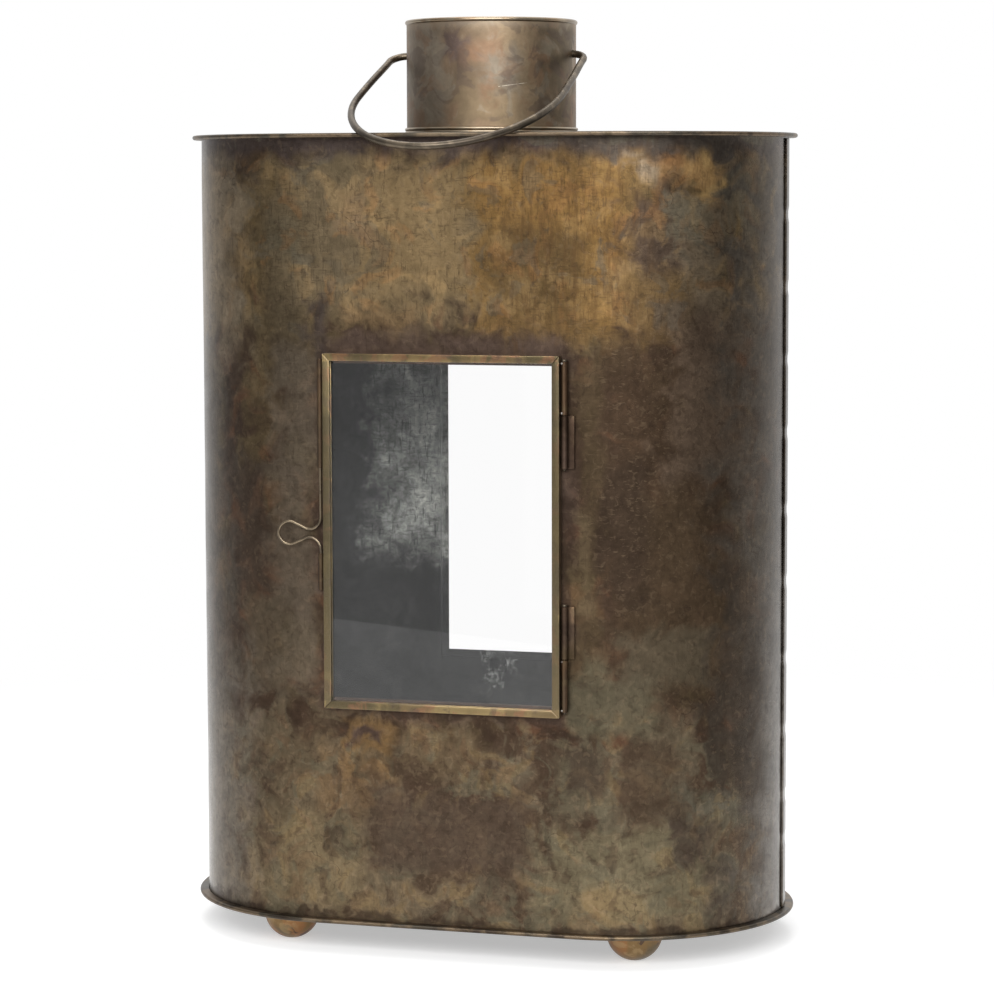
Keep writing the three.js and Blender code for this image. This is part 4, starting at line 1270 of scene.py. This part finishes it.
seam_bottom = CASE_BOTTOM + RIM_HEIGHT + SEAM_END_GAP
seam_top = CASE_TOP - RIM_HEIGHT - SEAM_END_GAP
heights = [*steps_between(seam_bottom, seam_top, SEAM_ROW), seam_top]
skin = END_RADIUS + SEAM_THICKNESS
seam = draw("case_seam", [Vector((END_X + skin, MIDDLE_Y, z)) for z in heights])
sweep = SEAM_WIDTH / END_RADIUS
bpy.ops.mesh.spin(steps=SEAM_STEPS, angle=-sweep, center=(END_X, MIDDLE_Y, 0), axis=(0, 0, 1))
for height in CRIMP_HEIGHTS:
    select_points(seam, lambda point: abs(point.z - height) < SEAM_ROW)
    bpy.ops.transform.translate(value=(-CRIMP_DEPTH, 0, 0))
close_up(seam)
modify(seam, "SOLIDIFY", thickness=SEAM_THICKNESS + SHEET / 2, offset=-1.0)
round_edges(seam, SEAM_ROUND, angle=60)
settle(seam, case_patina, "case", "case_brass")

# %% [markdown]
# ## End plates
#
# The top and the bottom plate are sheets whose edge is folded round the wall's flange, like the lid of
# a tin. Seen from outside the fold is a half-round roll with a flat lip under it. The outline runs from
# the end's axis out over the roll and back inside it, so the plate has its real thickness.

# %% End plates
FOLD_STEPS = 8
COLUMN_COUNT = 8
RIM_COLUMNS = [END_X * share / COLUMN_COUNT for share in range(COLUMN_COUNT - 1, 0, -1)]
HOLE_STEPS = 96
PLATE_SAW = 0.01
BEAD_PROUD = 0.0008

bead_low, bead_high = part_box("chimney_bead")
CHIMNEY_MIDDLE = middle_of("chimney_bead")
CHIMNEY_RADIUS = (bead_high.x - bead_low.x) / 2 - BEAD_PROUD


def plate_outline(level, up):
    """The outline of an end plate. Its outer surface is at that level, and up is 1 for a top plate."""
    roll = RIM_HEIGHT / 2
    middle = (END_RADIUS + RIM_OVERHANG - roll, level - up * roll)
    lip = END_RADIUS + JOINT_GAP
    outside = arc(middle, roll, up * 90, -up * 90, FOLD_STEPS)
    within = arc(middle, roll - SHEET, -up * 90, up * 90, FOLD_STEPS)
    under = level - up * RIM_HEIGHT
    inner = level - up * SHEET
    flat_edge = middle[0] - roll
    return [
        (0, level),
        (flat_edge, level),
        *outside,
        (lip, under),
        (lip, under + up * SHEET),
        *within,
        (flat_edge, inner),
        (0, inner),
    ]


def cut_round_hole(piece, radius, depth, place, rotation=(0, 0, 0)):
    """Cuts a round hole through a piece, as with a hole saw."""
    deselect_all()
    placed = {"location": place, "rotation": rotation}
    bpy.ops.mesh.primitive_cylinder_add(vertices=HOLE_STEPS, radius=radius, depth=depth, **placed)
    saw = bpy.context.object
    modify(piece, "BOOLEAN", object=saw, operation="DIFFERENCE", solver="EXACT")
    pick(saw)
    bpy.ops.object.delete()


for end, height, up in (("top", CASE_TOP, 1), ("bottom", CASE_BOTTOM, -1)):
    outline = plate_outline(height, up)
    plate = flask(end + "_sheet", outline, RIM_COLUMNS, closed=True)
    if end == "top":
        cut_round_hole(plate, CHIMNEY_RADIUS + JOINT_GAP, PLATE_SAW, (*CHIMNEY_MIDDLE, height))
    settle(plate, rim_patina, "case", "rim_brass", end + "_plate")

# %% [markdown]
# ## Chimney
#
# The chimney is a tube put in from below, with its foot turned out under the top plate. Two holes let
# the bail through. Its upper edge is rolled into a bead, and a ring of two ribs hides the joint below.

# %% Chimney
CHIMNEY_STEPS = 120
FLANGE = 0.004
BEAD_RADIUS = 0.00125
BEAD_SEAT = 0.0007
BEAD_STEPS = 14
CHIMNEY_TOP = bead_high.z
PIVOT_HEIGHT = 0.479
WIRE_RADIUS = 0.00195
PIVOT_GAP = 0.0003
RIB_HEIGHT = 0.0017
RIB_PROUD = 0.0011
RIB_STEPS = 8
TUBE_ROW = 0.005
TUBE_SAW = 0.11

flange_top = CASE_TOP - SHEET - JOINT_GAP
tube_edge = CHIMNEY_TOP - 2 * BEAD_RADIUS + BEAD_SEAT
rows = [*steps_between(flange_top + SHEET, tube_edge, TUBE_ROW), tube_edge]
outline = [(CHIMNEY_RADIUS + FLANGE, flange_top), (CHIMNEY_RADIUS + SHEET, flange_top)]
outline += [(CHIMNEY_RADIUS, row) for row in rows]
chimney = turn("chimney_sheet", outline, CHIMNEY_MIDDLE, CHIMNEY_STEPS, closed=False)
thicken(chimney, chimney_patina)
place = (*CHIMNEY_MIDDLE, PIVOT_HEIGHT)
cut_round_hole(chimney, WIRE_RADIUS + PIVOT_GAP, TUBE_SAW, place, rotation=(0, math.pi / 2, 0))
settle(chimney, chimney_patina, "case", "chimney_brass", "chimney_tube")

deselect_all()
bpy.ops.mesh.primitive_torus_add(
    major_radius=CHIMNEY_RADIUS + BEAD_PROUD - BEAD_RADIUS,
    minor_radius=BEAD_RADIUS,
    major_segments=CHIMNEY_STEPS,
    minor_segments=BEAD_STEPS,
    location=(*CHIMNEY_MIDDLE, CHIMNEY_TOP - BEAD_RADIUS),
)
bead = bpy.context.object
bead.name = "chimney_rolled_bead"
settle(bead, rolled_brass, "case", "chimney_brass", "chimney_bead", angle=80)

rib = RIB_HEIGHT / 2
ring_bottom = CASE_TOP + JOINT_GAP
outline = [(CHIMNEY_RADIUS + JOINT_GAP, ring_bottom)]
for level in (1, 3):
    middle = (CHIMNEY_RADIUS + RIB_PROUD - rib, ring_bottom + level * rib)
    outline += arc(middle, rib, -90, 90, RIB_STEPS)
outline.append((CHIMNEY_RADIUS + JOINT_GAP, ring_bottom + 4 * rib))
ring = turn("chimney_ribbed_ring", outline, CHIMNEY_MIDDLE, CHIMNEY_STEPS)
settle(ring, rolled_brass, "case", "chimney_brass", "chimney_foot_ring", angle=50)


# %% [markdown]
# ## Bail
#
# The bail is one length of hard wire. Each end goes through the chimney's wall and has a small round
# head inside, then the wire turns forward and runs as a slightly widening arm into a wide bow. A Bezier
# curve draws it lying level, and it is then tilted about its pivot until it rests on the rim. Compared
# with the photograph it came out a little too wide, so last it is made 3 % narrower and moved 1 mm to
# the left.

# %% Bail
WIRE_SIDES = 4
REST_SLOPE = math.radians(23.03)
ARM_X = 0.0565
HALF_WIDTH = 0.058
ARM_LENGTH = 0.06
BAIL_LENGTH = 0.129
BAIL_BEND = 0.0088
WIRE_INSIDE = 0.005
WIRE_END = CHIMNEY_RADIUS - SHEET - WIRE_INSIDE
HANDLE = 0.003
BAIL_STEPS = 24
ROUND = 0.5523
HEAD_RADIUS = 0.0032
HEAD_THICKNESS = 0.0012
HEAD_ROUND = 0.0004
HEAD_STEPS = 32
BAIL_NARROWED = 0.97
BAIL_MOVED = -0.001


def wire(name, knots, radius, steps, handles="AUTO"):
    """Wire along a Bezier curve. A knot is a place, or with free handles (before, place, after)."""
    deselect_all()
    bpy.ops.curve.primitive_bezier_curve_add(location=(0, 0, 0))
    piece = bpy.context.object
    piece.name = name
    line = piece.data.splines[0]
    line.bezier_points.add(len(knots) - 2)
    for point, knot in zip(line.bezier_points, knots):
        point.handle_left_type = point.handle_right_type = handles
        if handles == "FREE":
            point.handle_left, point.co, point.handle_right = knot
        else:
            point.co = knot
    piece.data.resolution_u = steps
    piece.data.bevel_depth = radius
    piece.data.bevel_resolution = WIRE_SIDES
    piece.data.use_fill_caps = True
    pick(piece)
    bpy.ops.object.convert(target="MESH")
    close_up(bpy.context.object)
    return bpy.context.object


def lying(x, reach):
    """A place on the level bail, so far across and so far in front of its pivot."""
    return Vector((x, MIDDLE_Y - reach, PIVOT_HEIGHT))


bow = BAIL_LENGTH - ARM_LENGTH
corner = BAIL_BEND * (1 - ROUND)
bend = ARM_X - BAIL_BEND
# knots with their handles: the end in the chimney, both ends of the bend, and the end of the arm
half = [
    (lying(WIRE_END, 0), lying(WIRE_END, 0), lying(WIRE_END + HANDLE, 0)),
    (lying(bend - HANDLE, 0), lying(bend, 0), lying(ARM_X - corner, 0)),
    (lying(ARM_X, corner), lying(ARM_X, BAIL_BEND), lying(ARM_X, ARM_LENGTH / 3)),
    tuple(lying(HALF_WIDTH, out) for out in (ARM_LENGTH / 2, ARM_LENGTH, ARM_LENGTH + ROUND * bow)),
]
tip = tuple(lying(x, BAIL_LENGTH) for x in (ROUND * HALF_WIDTH, 0, -ROUND * HALF_WIDTH))
flip = Vector((-1, 1, 1))
mirrored = [tuple(place * flip for place in reversed(knot)) for knot in reversed(half)]
bail = wire("bail_wire", [*half, tip, *mirrored], WIRE_RADIUS, BAIL_STEPS, handles="FREE")
for side in (1, -1):
    bpy.ops.mesh.primitive_cylinder_add(
        vertices=HEAD_STEPS,
        radius=HEAD_RADIUS,
        depth=HEAD_THICKNESS,
        location=(side * WIRE_END, MIDDLE_Y, PIVOT_HEIGHT),
        rotation=(0, math.pi / 2, 0),
    )
    head = bpy.context.object
    round_edges(head, HEAD_ROUND, segments=3)
    join(bail, head)
edit(bail)
bpy.ops.mesh.select_all(action="SELECT")
pivot = (0, MIDDLE_Y, PIVOT_HEIGHT)
bpy.ops.transform.rotate(value=-REST_SLOPE, orient_axis="X", center_override=pivot)
bpy.ops.transform.resize(value=(BAIL_NARROWED, 1, 1))
bpy.ops.transform.translate(value=(BAIL_MOVED, 0, 0))
bpy.ops.object.mode_set(mode="OBJECT")
settle(bail, dark_wire, "bail", "dark_wire", "bail_handle")

# %% [markdown]
# ## Feet and rivets
#
# The feet are solid half balls with a flat to stand on. A rivet comes down through the bottom plate
# into each of them, and its low head shows inside the case. One of each is turned and copied.

# %% Feet and rivets
FOOT_RADIUS = 0.015
FOOT_FLAT = 0.0042
FOOT_STEPS = 64
FOOT_ROWS = 20
RIVET_RADIUS = 0.0015
RIVET_DEPTH = 0.008
RIVET_HEAD_RADIUS = 0.0035
RIVET_HEAD_HEIGHT = 0.0016
RIVET_STEPS = 32
RIVET_HEAD_ROWS = 6
FOOT_NAMES = ("front_left", "front_right", "rear_left", "rear_right")


def copy_to(piece, name, shift):
    """A copy with its own mesh, moved from where the first one stands."""
    pick(piece)
    bpy.ops.object.duplicate()
    copied = bpy.context.object
    copied.name = name
    bpy.ops.transform.translate(value=shift)
    return copied


foot_top = CASE_BOTTOM - JOINT_GAP
ball = math.sqrt(FOOT_RADIUS**2 - FOOT_FLAT**2)
start = -math.degrees(math.acos(FOOT_FLAT / FOOT_RADIUS))
end = math.degrees(math.asin((foot_top - ball) / FOOT_RADIUS))
foot_outline = [(0, 0), *arc((0, ball), FOOT_RADIUS, start, end, FOOT_ROWS), (0, foot_top)]
rivet_bottom = foot_top - RIVET_DEPTH
under_head = CASE_BOTTOM + SHEET
head = [
    (RIVET_HEAD_RADIUS * math.cos(angle), under_head + RIVET_HEAD_HEIGHT * math.sin(angle))
    for angle in [math.pi / 2 * step / RIVET_HEAD_ROWS for step in range(RIVET_HEAD_ROWS)]
]
rivet_outline = [(0, rivet_bottom), (RIVET_RADIUS, rivet_bottom), (RIVET_RADIUS, under_head), *head]
rivet_outline.append((0, under_head + RIVET_HEAD_HEIGHT))

first = middle_of("foot_" + FOOT_NAMES[0])
first_foot = turn("foot_dome_" + FOOT_NAMES[0], foot_outline, first, FOOT_STEPS, closed=False)
first_rivet = turn("rivet_" + FOOT_NAMES[0], rivet_outline, first, RIVET_STEPS, closed=False)
feet = [(first_foot, first_rivet)]
for corner in FOOT_NAMES[1:]:
    x, y = middle_of("foot_" + corner)
    shift = (x - first[0], y - first[1], 0)
    foot = copy_to(first_foot, "foot_dome_" + corner, shift)
    feet.append((foot, copy_to(first_rivet, "rivet_" + corner, shift)))
for corner, (foot, rivet) in zip(FOOT_NAMES, feet):
    settle(foot, foot_brass, "case", "foot_brass", "foot_" + corner)
    settle(rivet, foot_brass, "case", "foot_brass", "foot_rivet_" + corner)

# %% [markdown]
# ## Door frame
#
# The frame is a channel folded from thicker brass, cut to four lengths with mitred ends. The channel's
# outline is drawn in the slanting plane of one mitre, and its mirror image is bridged to it. A small
# bevel rounds the folds as the folding bar did.

# %% Door frame
CHANNEL_FACE = 0.004
CHANNEL_SHEET = 0.0008
FOLD_BEVEL = 0.00035
MITRE_GAP = 0.00005

left_low, left_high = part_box("door_channel_left")
door_depth = left_high.y - left_low.y
low_left = Vector((door_low.x, left_low.y, door_low.z))
low_right = Vector((door_high.x, left_low.y, door_low.z))
high_left = Vector((door_low.x, left_low.y, door_high.z))


def channel(name, corner, along, inward, length):
    """One length of the frame, from its outer corner, with the directions along it and inwards."""
    thin, deep = CHANNEL_SHEET, door_depth - CHANNEL_SHEET
    section = [(0, 0), (CHANNEL_FACE, 0), (CHANNEL_FACE, thin), (thin, thin)]
    section += [(thin, deep), (CHANNEL_FACE, deep), (CHANNEL_FACE, door_depth), (0, door_depth)]
    mitre = []
    for inset, depth in section:
        across = along * (inset + MITRE_GAP) + inward * inset
        mitre.append(corner + across + Vector((0, depth, 0)))
    piece = draw(name, mitre, closed=True)
    bpy.ops.mesh.duplicate()
    flip = [1 - 2 * abs(side) for side in along]
    bpy.ops.transform.resize(value=flip, center_override=corner + along * length / 2)
    bpy.ops.mesh.select_all(action="SELECT")
    bpy.ops.mesh.bridge_edge_loops()
    bpy.ops.mesh.select_all(action="SELECT")
    bpy.ops.mesh.fill_holes(sides=8)
    close_up(piece)
    round_edges(piece, FOLD_BEVEL, segments=3, angle=60)
    return piece


right, up = Vector((1, 0, 0)), Vector((0, 0, 1))
door_width = door_high.x - door_low.x
door_height = door_high.z - door_low.z
# where each length starts, its direction, the way inwards, and how long it is
placings = {
    "left": (low_left, up, right, door_height),
    "right": (low_right, up, -right, door_height),
    "bottom": (low_left, right, up, door_width),
    "top": (high_left, right, -up, door_width),
}
for side, placing in placings.items():
    piece = channel("door_frame_" + side, *placing)
    settle(piece, frame_brass, "door", "door_brass", "door_channel_" + side)


# %% [markdown]
# ## Panes
#
# Both panes are plain sheet glass with a slightly eased edge. The front one slides in the channel, and
# the rear one lies inside the back wall.

# %% Panes
EASED = 0.0002


def block(name, low, high):
    """A block between two corners with eased edges."""
    deselect_all()
    low, high = Vector(low), Vector(high)
    bpy.ops.mesh.primitive_cube_add(size=1, location=(low + high) / 2, scale=high - low)
    piece = bpy.context.object
    piece.name = name
    bpy.ops.object.transform_apply(location=True, rotation=True, scale=True)
    round_edges(piece, EASED)
    return piece


front_pane = block("front_pane", *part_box("door_glass"))
settle(front_pane, front_glass, "door", "pane", "door_glass", angle=5)
rear_pane = block("rear_pane", *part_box("rear_glass"))
settle(rear_pane, rear_glass, "case", "pane", "rear_glass", angle=5)


# %% [markdown]
# ## Hinges
#
# Each hinge is two little tubes on one headed pin: one soldered to the door's edge, the other to a leaf
# on the case. The tubes are rolled from sheet, so their ends are rounded. Two flat drops of solder at
# each of the door's tubes catch the light.

# %% Hinges
END_ROUND = 0.0002
TUBE_STEPS = 32
PIN_RADIUS = 0.0008
PIN_STEPS = 24
PIN_HEAD_RADIUS = 0.0016
PIN_HEAD_HEIGHT = 0.001
PIN_HEAD_ROUND = 0.0004
LEAF_THICKNESS = 0.0012
LEAF_REACH = 0.005
DROP_RADIUS = 0.0009
DROP_SHAPE = (1.3, 0.6, 0.8)
DROP_LEFT = 0.0008
DROP_FORWARD = 0.0011
DROP_ABOVE_END = 0.001
DROP_BELOW_END = 0.0008

barrel_low, barrel_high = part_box("door_knuckle_lower")
HINGE_AXIS = middle_of("hinge_pin_lower")
HINGE_TUBE = (barrel_high.x - barrel_low.x) / 2


def tube(name, node, bore, radius, axis):
    """A tube rolled from sheet, as high as a node's box."""
    low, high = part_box(node)
    outline = [
        (bore, low.z),
        (radius - END_ROUND, low.z),
        (radius, low.z + END_ROUND),
        (radius, high.z - END_ROUND),
        (radius - END_ROUND, high.z),
        (bore, high.z),
    ]
    return turn(name, outline, axis, TUBE_STEPS)


def add_drop(knuckle, height):
    """Joins a flat drop of solder to a hinge tube."""
    place = (HINGE_AXIS[0] - DROP_LEFT, HINGE_AXIS[1] - DROP_FORWARD, height)
    shape = {"segments": 16, "ring_count": 10, "radius": DROP_RADIUS}
    bpy.ops.mesh.primitive_uv_sphere_add(location=place, **shape)
    bpy.ops.transform.resize(value=DROP_SHAPE)
    drop = bpy.context.object
    drop.data.materials.append(solder)
    join(knuckle, drop)


hinge_bore = PIN_RADIUS + PIVOT_GAP
for height in ("lower", "upper"):
    node = "door_knuckle_" + height
    low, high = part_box(node)
    knuckle = tube("door_hinge_tube_" + height, node, hinge_bore, HINGE_TUBE, HINGE_AXIS)
    knuckle.data.materials.append(hinge_brass)
    add_drop(knuckle, low.z + DROP_ABOVE_END)
    add_drop(knuckle, high.z - DROP_BELOW_END)
    settle(knuckle, hinge_brass, "door", "door_brass", node)

    node = "case_knuckle_" + height
    low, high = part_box(node)
    knuckle = tube("case_hinge_tube_" + height, node, hinge_bore, HINGE_TUBE, HINGE_AXIS)
    leaf_back = FRONT - JOINT_GAP
    leaf_low = (HINGE_AXIS[0] + hinge_bore, leaf_back - LEAF_THICKNESS, low.z)
    join(knuckle, block("leaf", leaf_low, (HINGE_AXIS[0] + LEAF_REACH, leaf_back, high.z)))
    settle(knuckle, case_patina, "case", "door_brass", node)

    node = "hinge_pin_" + height
    low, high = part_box(node)
    head_bottom = high.z - PIN_HEAD_HEIGHT
    rounding = (PIN_HEAD_RADIUS - PIN_HEAD_ROUND, high.z - PIN_HEAD_ROUND)
    outline = [(0, low.z), (PIN_RADIUS, low.z), (PIN_RADIUS, head_bottom)]
    outline += [(PIN_HEAD_RADIUS, head_bottom), *arc(rounding, PIN_HEAD_ROUND, 0, 90, BEND_STEPS)]
    outline.append((0, high.z))
    pin = turn("hinge_pin_wire_" + height, outline, HINGE_AXIS, PIN_STEPS, closed=False)
    settle(pin, dark_wire, "case", "dark_wire", node)

# %% [markdown]
# ## Wire pull
#
# The pull is thin bright wire bent to a teardrop. Its two legs turn up and down into small tubes that
# are soldered to the door's free side, so that it can be folded back against the case.

# %% Wire pull
PULL_WIRE = 0.00075
PULL_REACH = 0.0238
PULL_HALF_WIDE = 0.0061
PULL_HALF_NECK = 0.0022
PULL_SHOULDER = 0.009
SHOULDER_BEND = 0.004
PULL_HEIGHT = 0.093
PULL_STEPS = 10

upper_low, upper_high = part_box("pull_tube_upper")
pull_low, pull_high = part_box("pull_wire")
PULL_AXIS = middle_of("pull_tube_upper")
PULL_TUBE = (upper_high.x - upper_low.x) / 2
for height in ("upper", "lower"):
    node = "pull_tube_" + height
    sleeve = tube("pull_sleeve_" + height, node, PULL_WIRE + PIVOT_GAP, PULL_TUBE, PULL_AXIS)
    settle(sleeve, hinge_brass, "door", "door_brass", node)

pull_middle = door_low.z + PULL_HEIGHT
# half of the loop: how far out from the tubes, and how far from its middle line
half_loop = [
    (0.1 * 2 * PULL_HALF_NECK, 0.72 * PULL_SHOULDER),
    (0.12 * PULL_REACH, 1.5 * PULL_HALF_NECK),
    (0.27 * PULL_REACH, PULL_HALF_NECK),
    (0.52 * PULL_REACH, 0.72 * PULL_HALF_WIDE),
    (0.75 * PULL_REACH, PULL_HALF_WIDE),
    (0.93 * PULL_REACH, 0.66 * PULL_HALF_WIDE),
]


def beside(out, height):
    return Vector((PULL_AXIS[0] - out, PULL_AXIS[1], pull_middle + height))


bend_end = PULL_SHOULDER + SHOULDER_BEND
upper_half = [beside(0, height) for height in (pull_high.z - pull_middle, bend_end, PULL_SHOULDER)]
upper_half += [beside(out, height) for out, height in half_loop]
lower_half = [beside(out, -height) for out, height in reversed(half_loop)]
lower_half += [beside(0, height) for height in (-PULL_SHOULDER, -bend_end, pull_low.z - pull_middle)]
knots = [*upper_half, beside(PULL_REACH, 0), *lower_half]
pull = wire("pull_loop", knots, PULL_WIRE, PULL_STEPS)
settle(pull, bright_wire, "pull", "dark_wire", "pull_wire")

# %% [markdown]
# ## Rear clips
#
# Four bent strips of sheet hold the rear pane. Each has a pad on the wall, a step as high as the glass
# is thick, and a finger over the pane. The outline is drawn from the side and pulled to its width.

# %% Rear clips
CLIP_PAD = 0.008
CLIP_ROUND = 0.0001
CLIP_NAMES = ("lower_left", "lower_right", "upper_left", "upper_right")

for corner in CLIP_NAMES:
    low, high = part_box("rear_clip_" + corner)
    if corner.startswith("lower"):
        foot, side = low.z, 1
    else:
        foot, side = high.z, -1
    section = [
        (0, high.y - SHEET),
        (0, high.y),
        (CLIP_PAD, high.y),
        (CLIP_PAD, low.y + SHEET),
        (high.z - low.z, low.y + SHEET),
        (high.z - low.z, low.y),
        (CLIP_PAD - SHEET, low.y),
        (CLIP_PAD - SHEET, high.y - SHEET),
    ]
    outline = [Vector((low.x, y, foot + side * run)) for run, y in section]
    clip = draw("clip_" + corner, outline, closed=True)
    bpy.ops.mesh.edge_face_add()
    move = {"value": (high.x - low.x, 0, 0)}
    bpy.ops.mesh.extrude_region_move(TRANSFORM_OT_translate=move)
    close_up(clip)
    round_edges(clip, CLIP_ROUND)
    settle(clip, soot_inside, "case", "rim_brass", "rear_clip_" + corner)

# %% [markdown]
# ## Studio
#
# The lantern stands on a pale sweep in a plain white studio. For the camera the surroundings are plain
# white. In reflections the room is bright behind the lantern and dim in front of it, where the
# photographer stood, so the glass shows a grey veil only where it mirrors the floor.

# %% Studio
WHITE = (1.0, 1.0, 1.0, 1.0)
FLOOR_FRONT = FRONT - 1.28
FLOOR_TURN = math.radians(27)
FLOOR_TURN_X = -0.465
FLOOR_BACK = 6.0
FLOOR_SIDE = 6.0
FLOOR_DROP = 0.0002
PAPER_GREY = 0.66
PAPER_GLOW = 0.44
AMBIENT = 0.55
ROOM_FRONT = 0.16
ROOM_BACK = 1.0
LAMP_AIM = Vector((0, 0, 0.25))

deselect_all()
place = (0, (FLOOR_FRONT + FLOOR_BACK) / 2, -FLOOR_DROP)
bpy.ops.mesh.primitive_plane_add(size=1, location=place)
floor = bpy.context.object
floor.name = "floor"
floor.scale = (2 * FLOOR_SIDE, FLOOR_BACK - FLOOR_FRONT, 1)
bpy.ops.object.transform_apply(scale=True)
centre = (FLOOR_TURN_X, FLOOR_FRONT, 0)
bpy.ops.transform.rotate(value=-FLOOR_TURN, orient_axis="Z", center_override=centre)
bpy.ops.object.transform_apply(location=True, rotation=True)
paper, tree, shader = new_material("white sweep")
set_values(shader, base_color=(*[PAPER_GREY] * 3, 1.0), roughness=0.9, emission_color=WHITE)
rays = add_node(tree, "ShaderNodeLightPath").outputs
seen = calculate(tree, "MAXIMUM", rays["Is Camera Ray"], rays["Is Glossy Ray"])
seen = calculate(tree, "MAXIMUM", seen, rays["Is Transmission Ray"])
glow = calculate(tree, "MULTIPLY", seen, PAPER_GLOW)
tree.links.new(glow, shader.inputs["Emission Strength"])
# far from the lantern the paper is plain white where it is seen
place = object_place(tree)
away = add_node(tree, "ShaderNodeVectorMath", {0: place}, operation="LENGTH").outputs["Value"]
far = calculate(tree, "MULTIPLY", ease(tree, away, 0.45, 1.0), seen)
plain = add_node(tree, "ShaderNodeEmission", {"Strength": 1.0})
sockets = {0: far, 1: shader.outputs[0], 2: plain.outputs[0]}
sweep = add_node(tree, "ShaderNodeMixShader", sockets)
tree.links.new(sweep.outputs[0], tree.nodes["Material Output"].inputs["Surface"])
floor.data.materials.append(paper)

world = bpy.data.worlds.new("studio")
bpy.context.scene.world = world
world.use_nodes = True
tree = world.node_tree
background = tree.nodes["Background"]
rays = add_node(tree, "ShaderNodeLightPath").outputs
towards = axes(tree, add_node(tree, "ShaderNodeTexCoord").outputs["Generated"])
room = ease(tree, towards["Y"], 0.0, 0.8, ROOM_FRONT, ROOM_BACK)
above = ease(tree, towards["Z"], 0.15, 0.7, 0.0, 0.5)
room = calculate(tree, "ADD", room, above)
clear = calculate(tree, "MAXIMUM", rays["Is Camera Ray"], rays["Is Transmission Ray"])
light = add_node(tree, "ShaderNodeMix", {0: rays["Is Glossy Ray"], 2: AMBIENT, 3: room}).outputs[0]
light = add_node(tree, "ShaderNodeMix", {0: clear, 2: light, 3: 1.0}).outputs[0]
background.inputs["Color"].default_value = WHITE
tree.links.new(light, background.inputs["Strength"])


def soft_light(name, place, size, power):
    """A large lamp, so wide and so high, aimed at the middle of the lantern. It isn't seen itself."""
    deselect_all()
    turn_to = (LAMP_AIM - Vector(place)).to_track_quat("-Z", "Y").to_euler()
    bpy.ops.object.light_add(type="AREA", location=place, rotation=turn_to)
    lamp = bpy.context.object
    lamp.name = name
    lamp.data.shape = "RECTANGLE"
    lamp.data.size, lamp.data.size_y = size
    lamp.data.energy = power
    lamp.visible_camera = False


soft_light("front light", (0.55, -2.7, 1.7), (3.0, 1.4), 110)
soft_light("top light", (-0.2, 0.3, 2.8), (1.6, 1.6), 30)
print("studio ready")
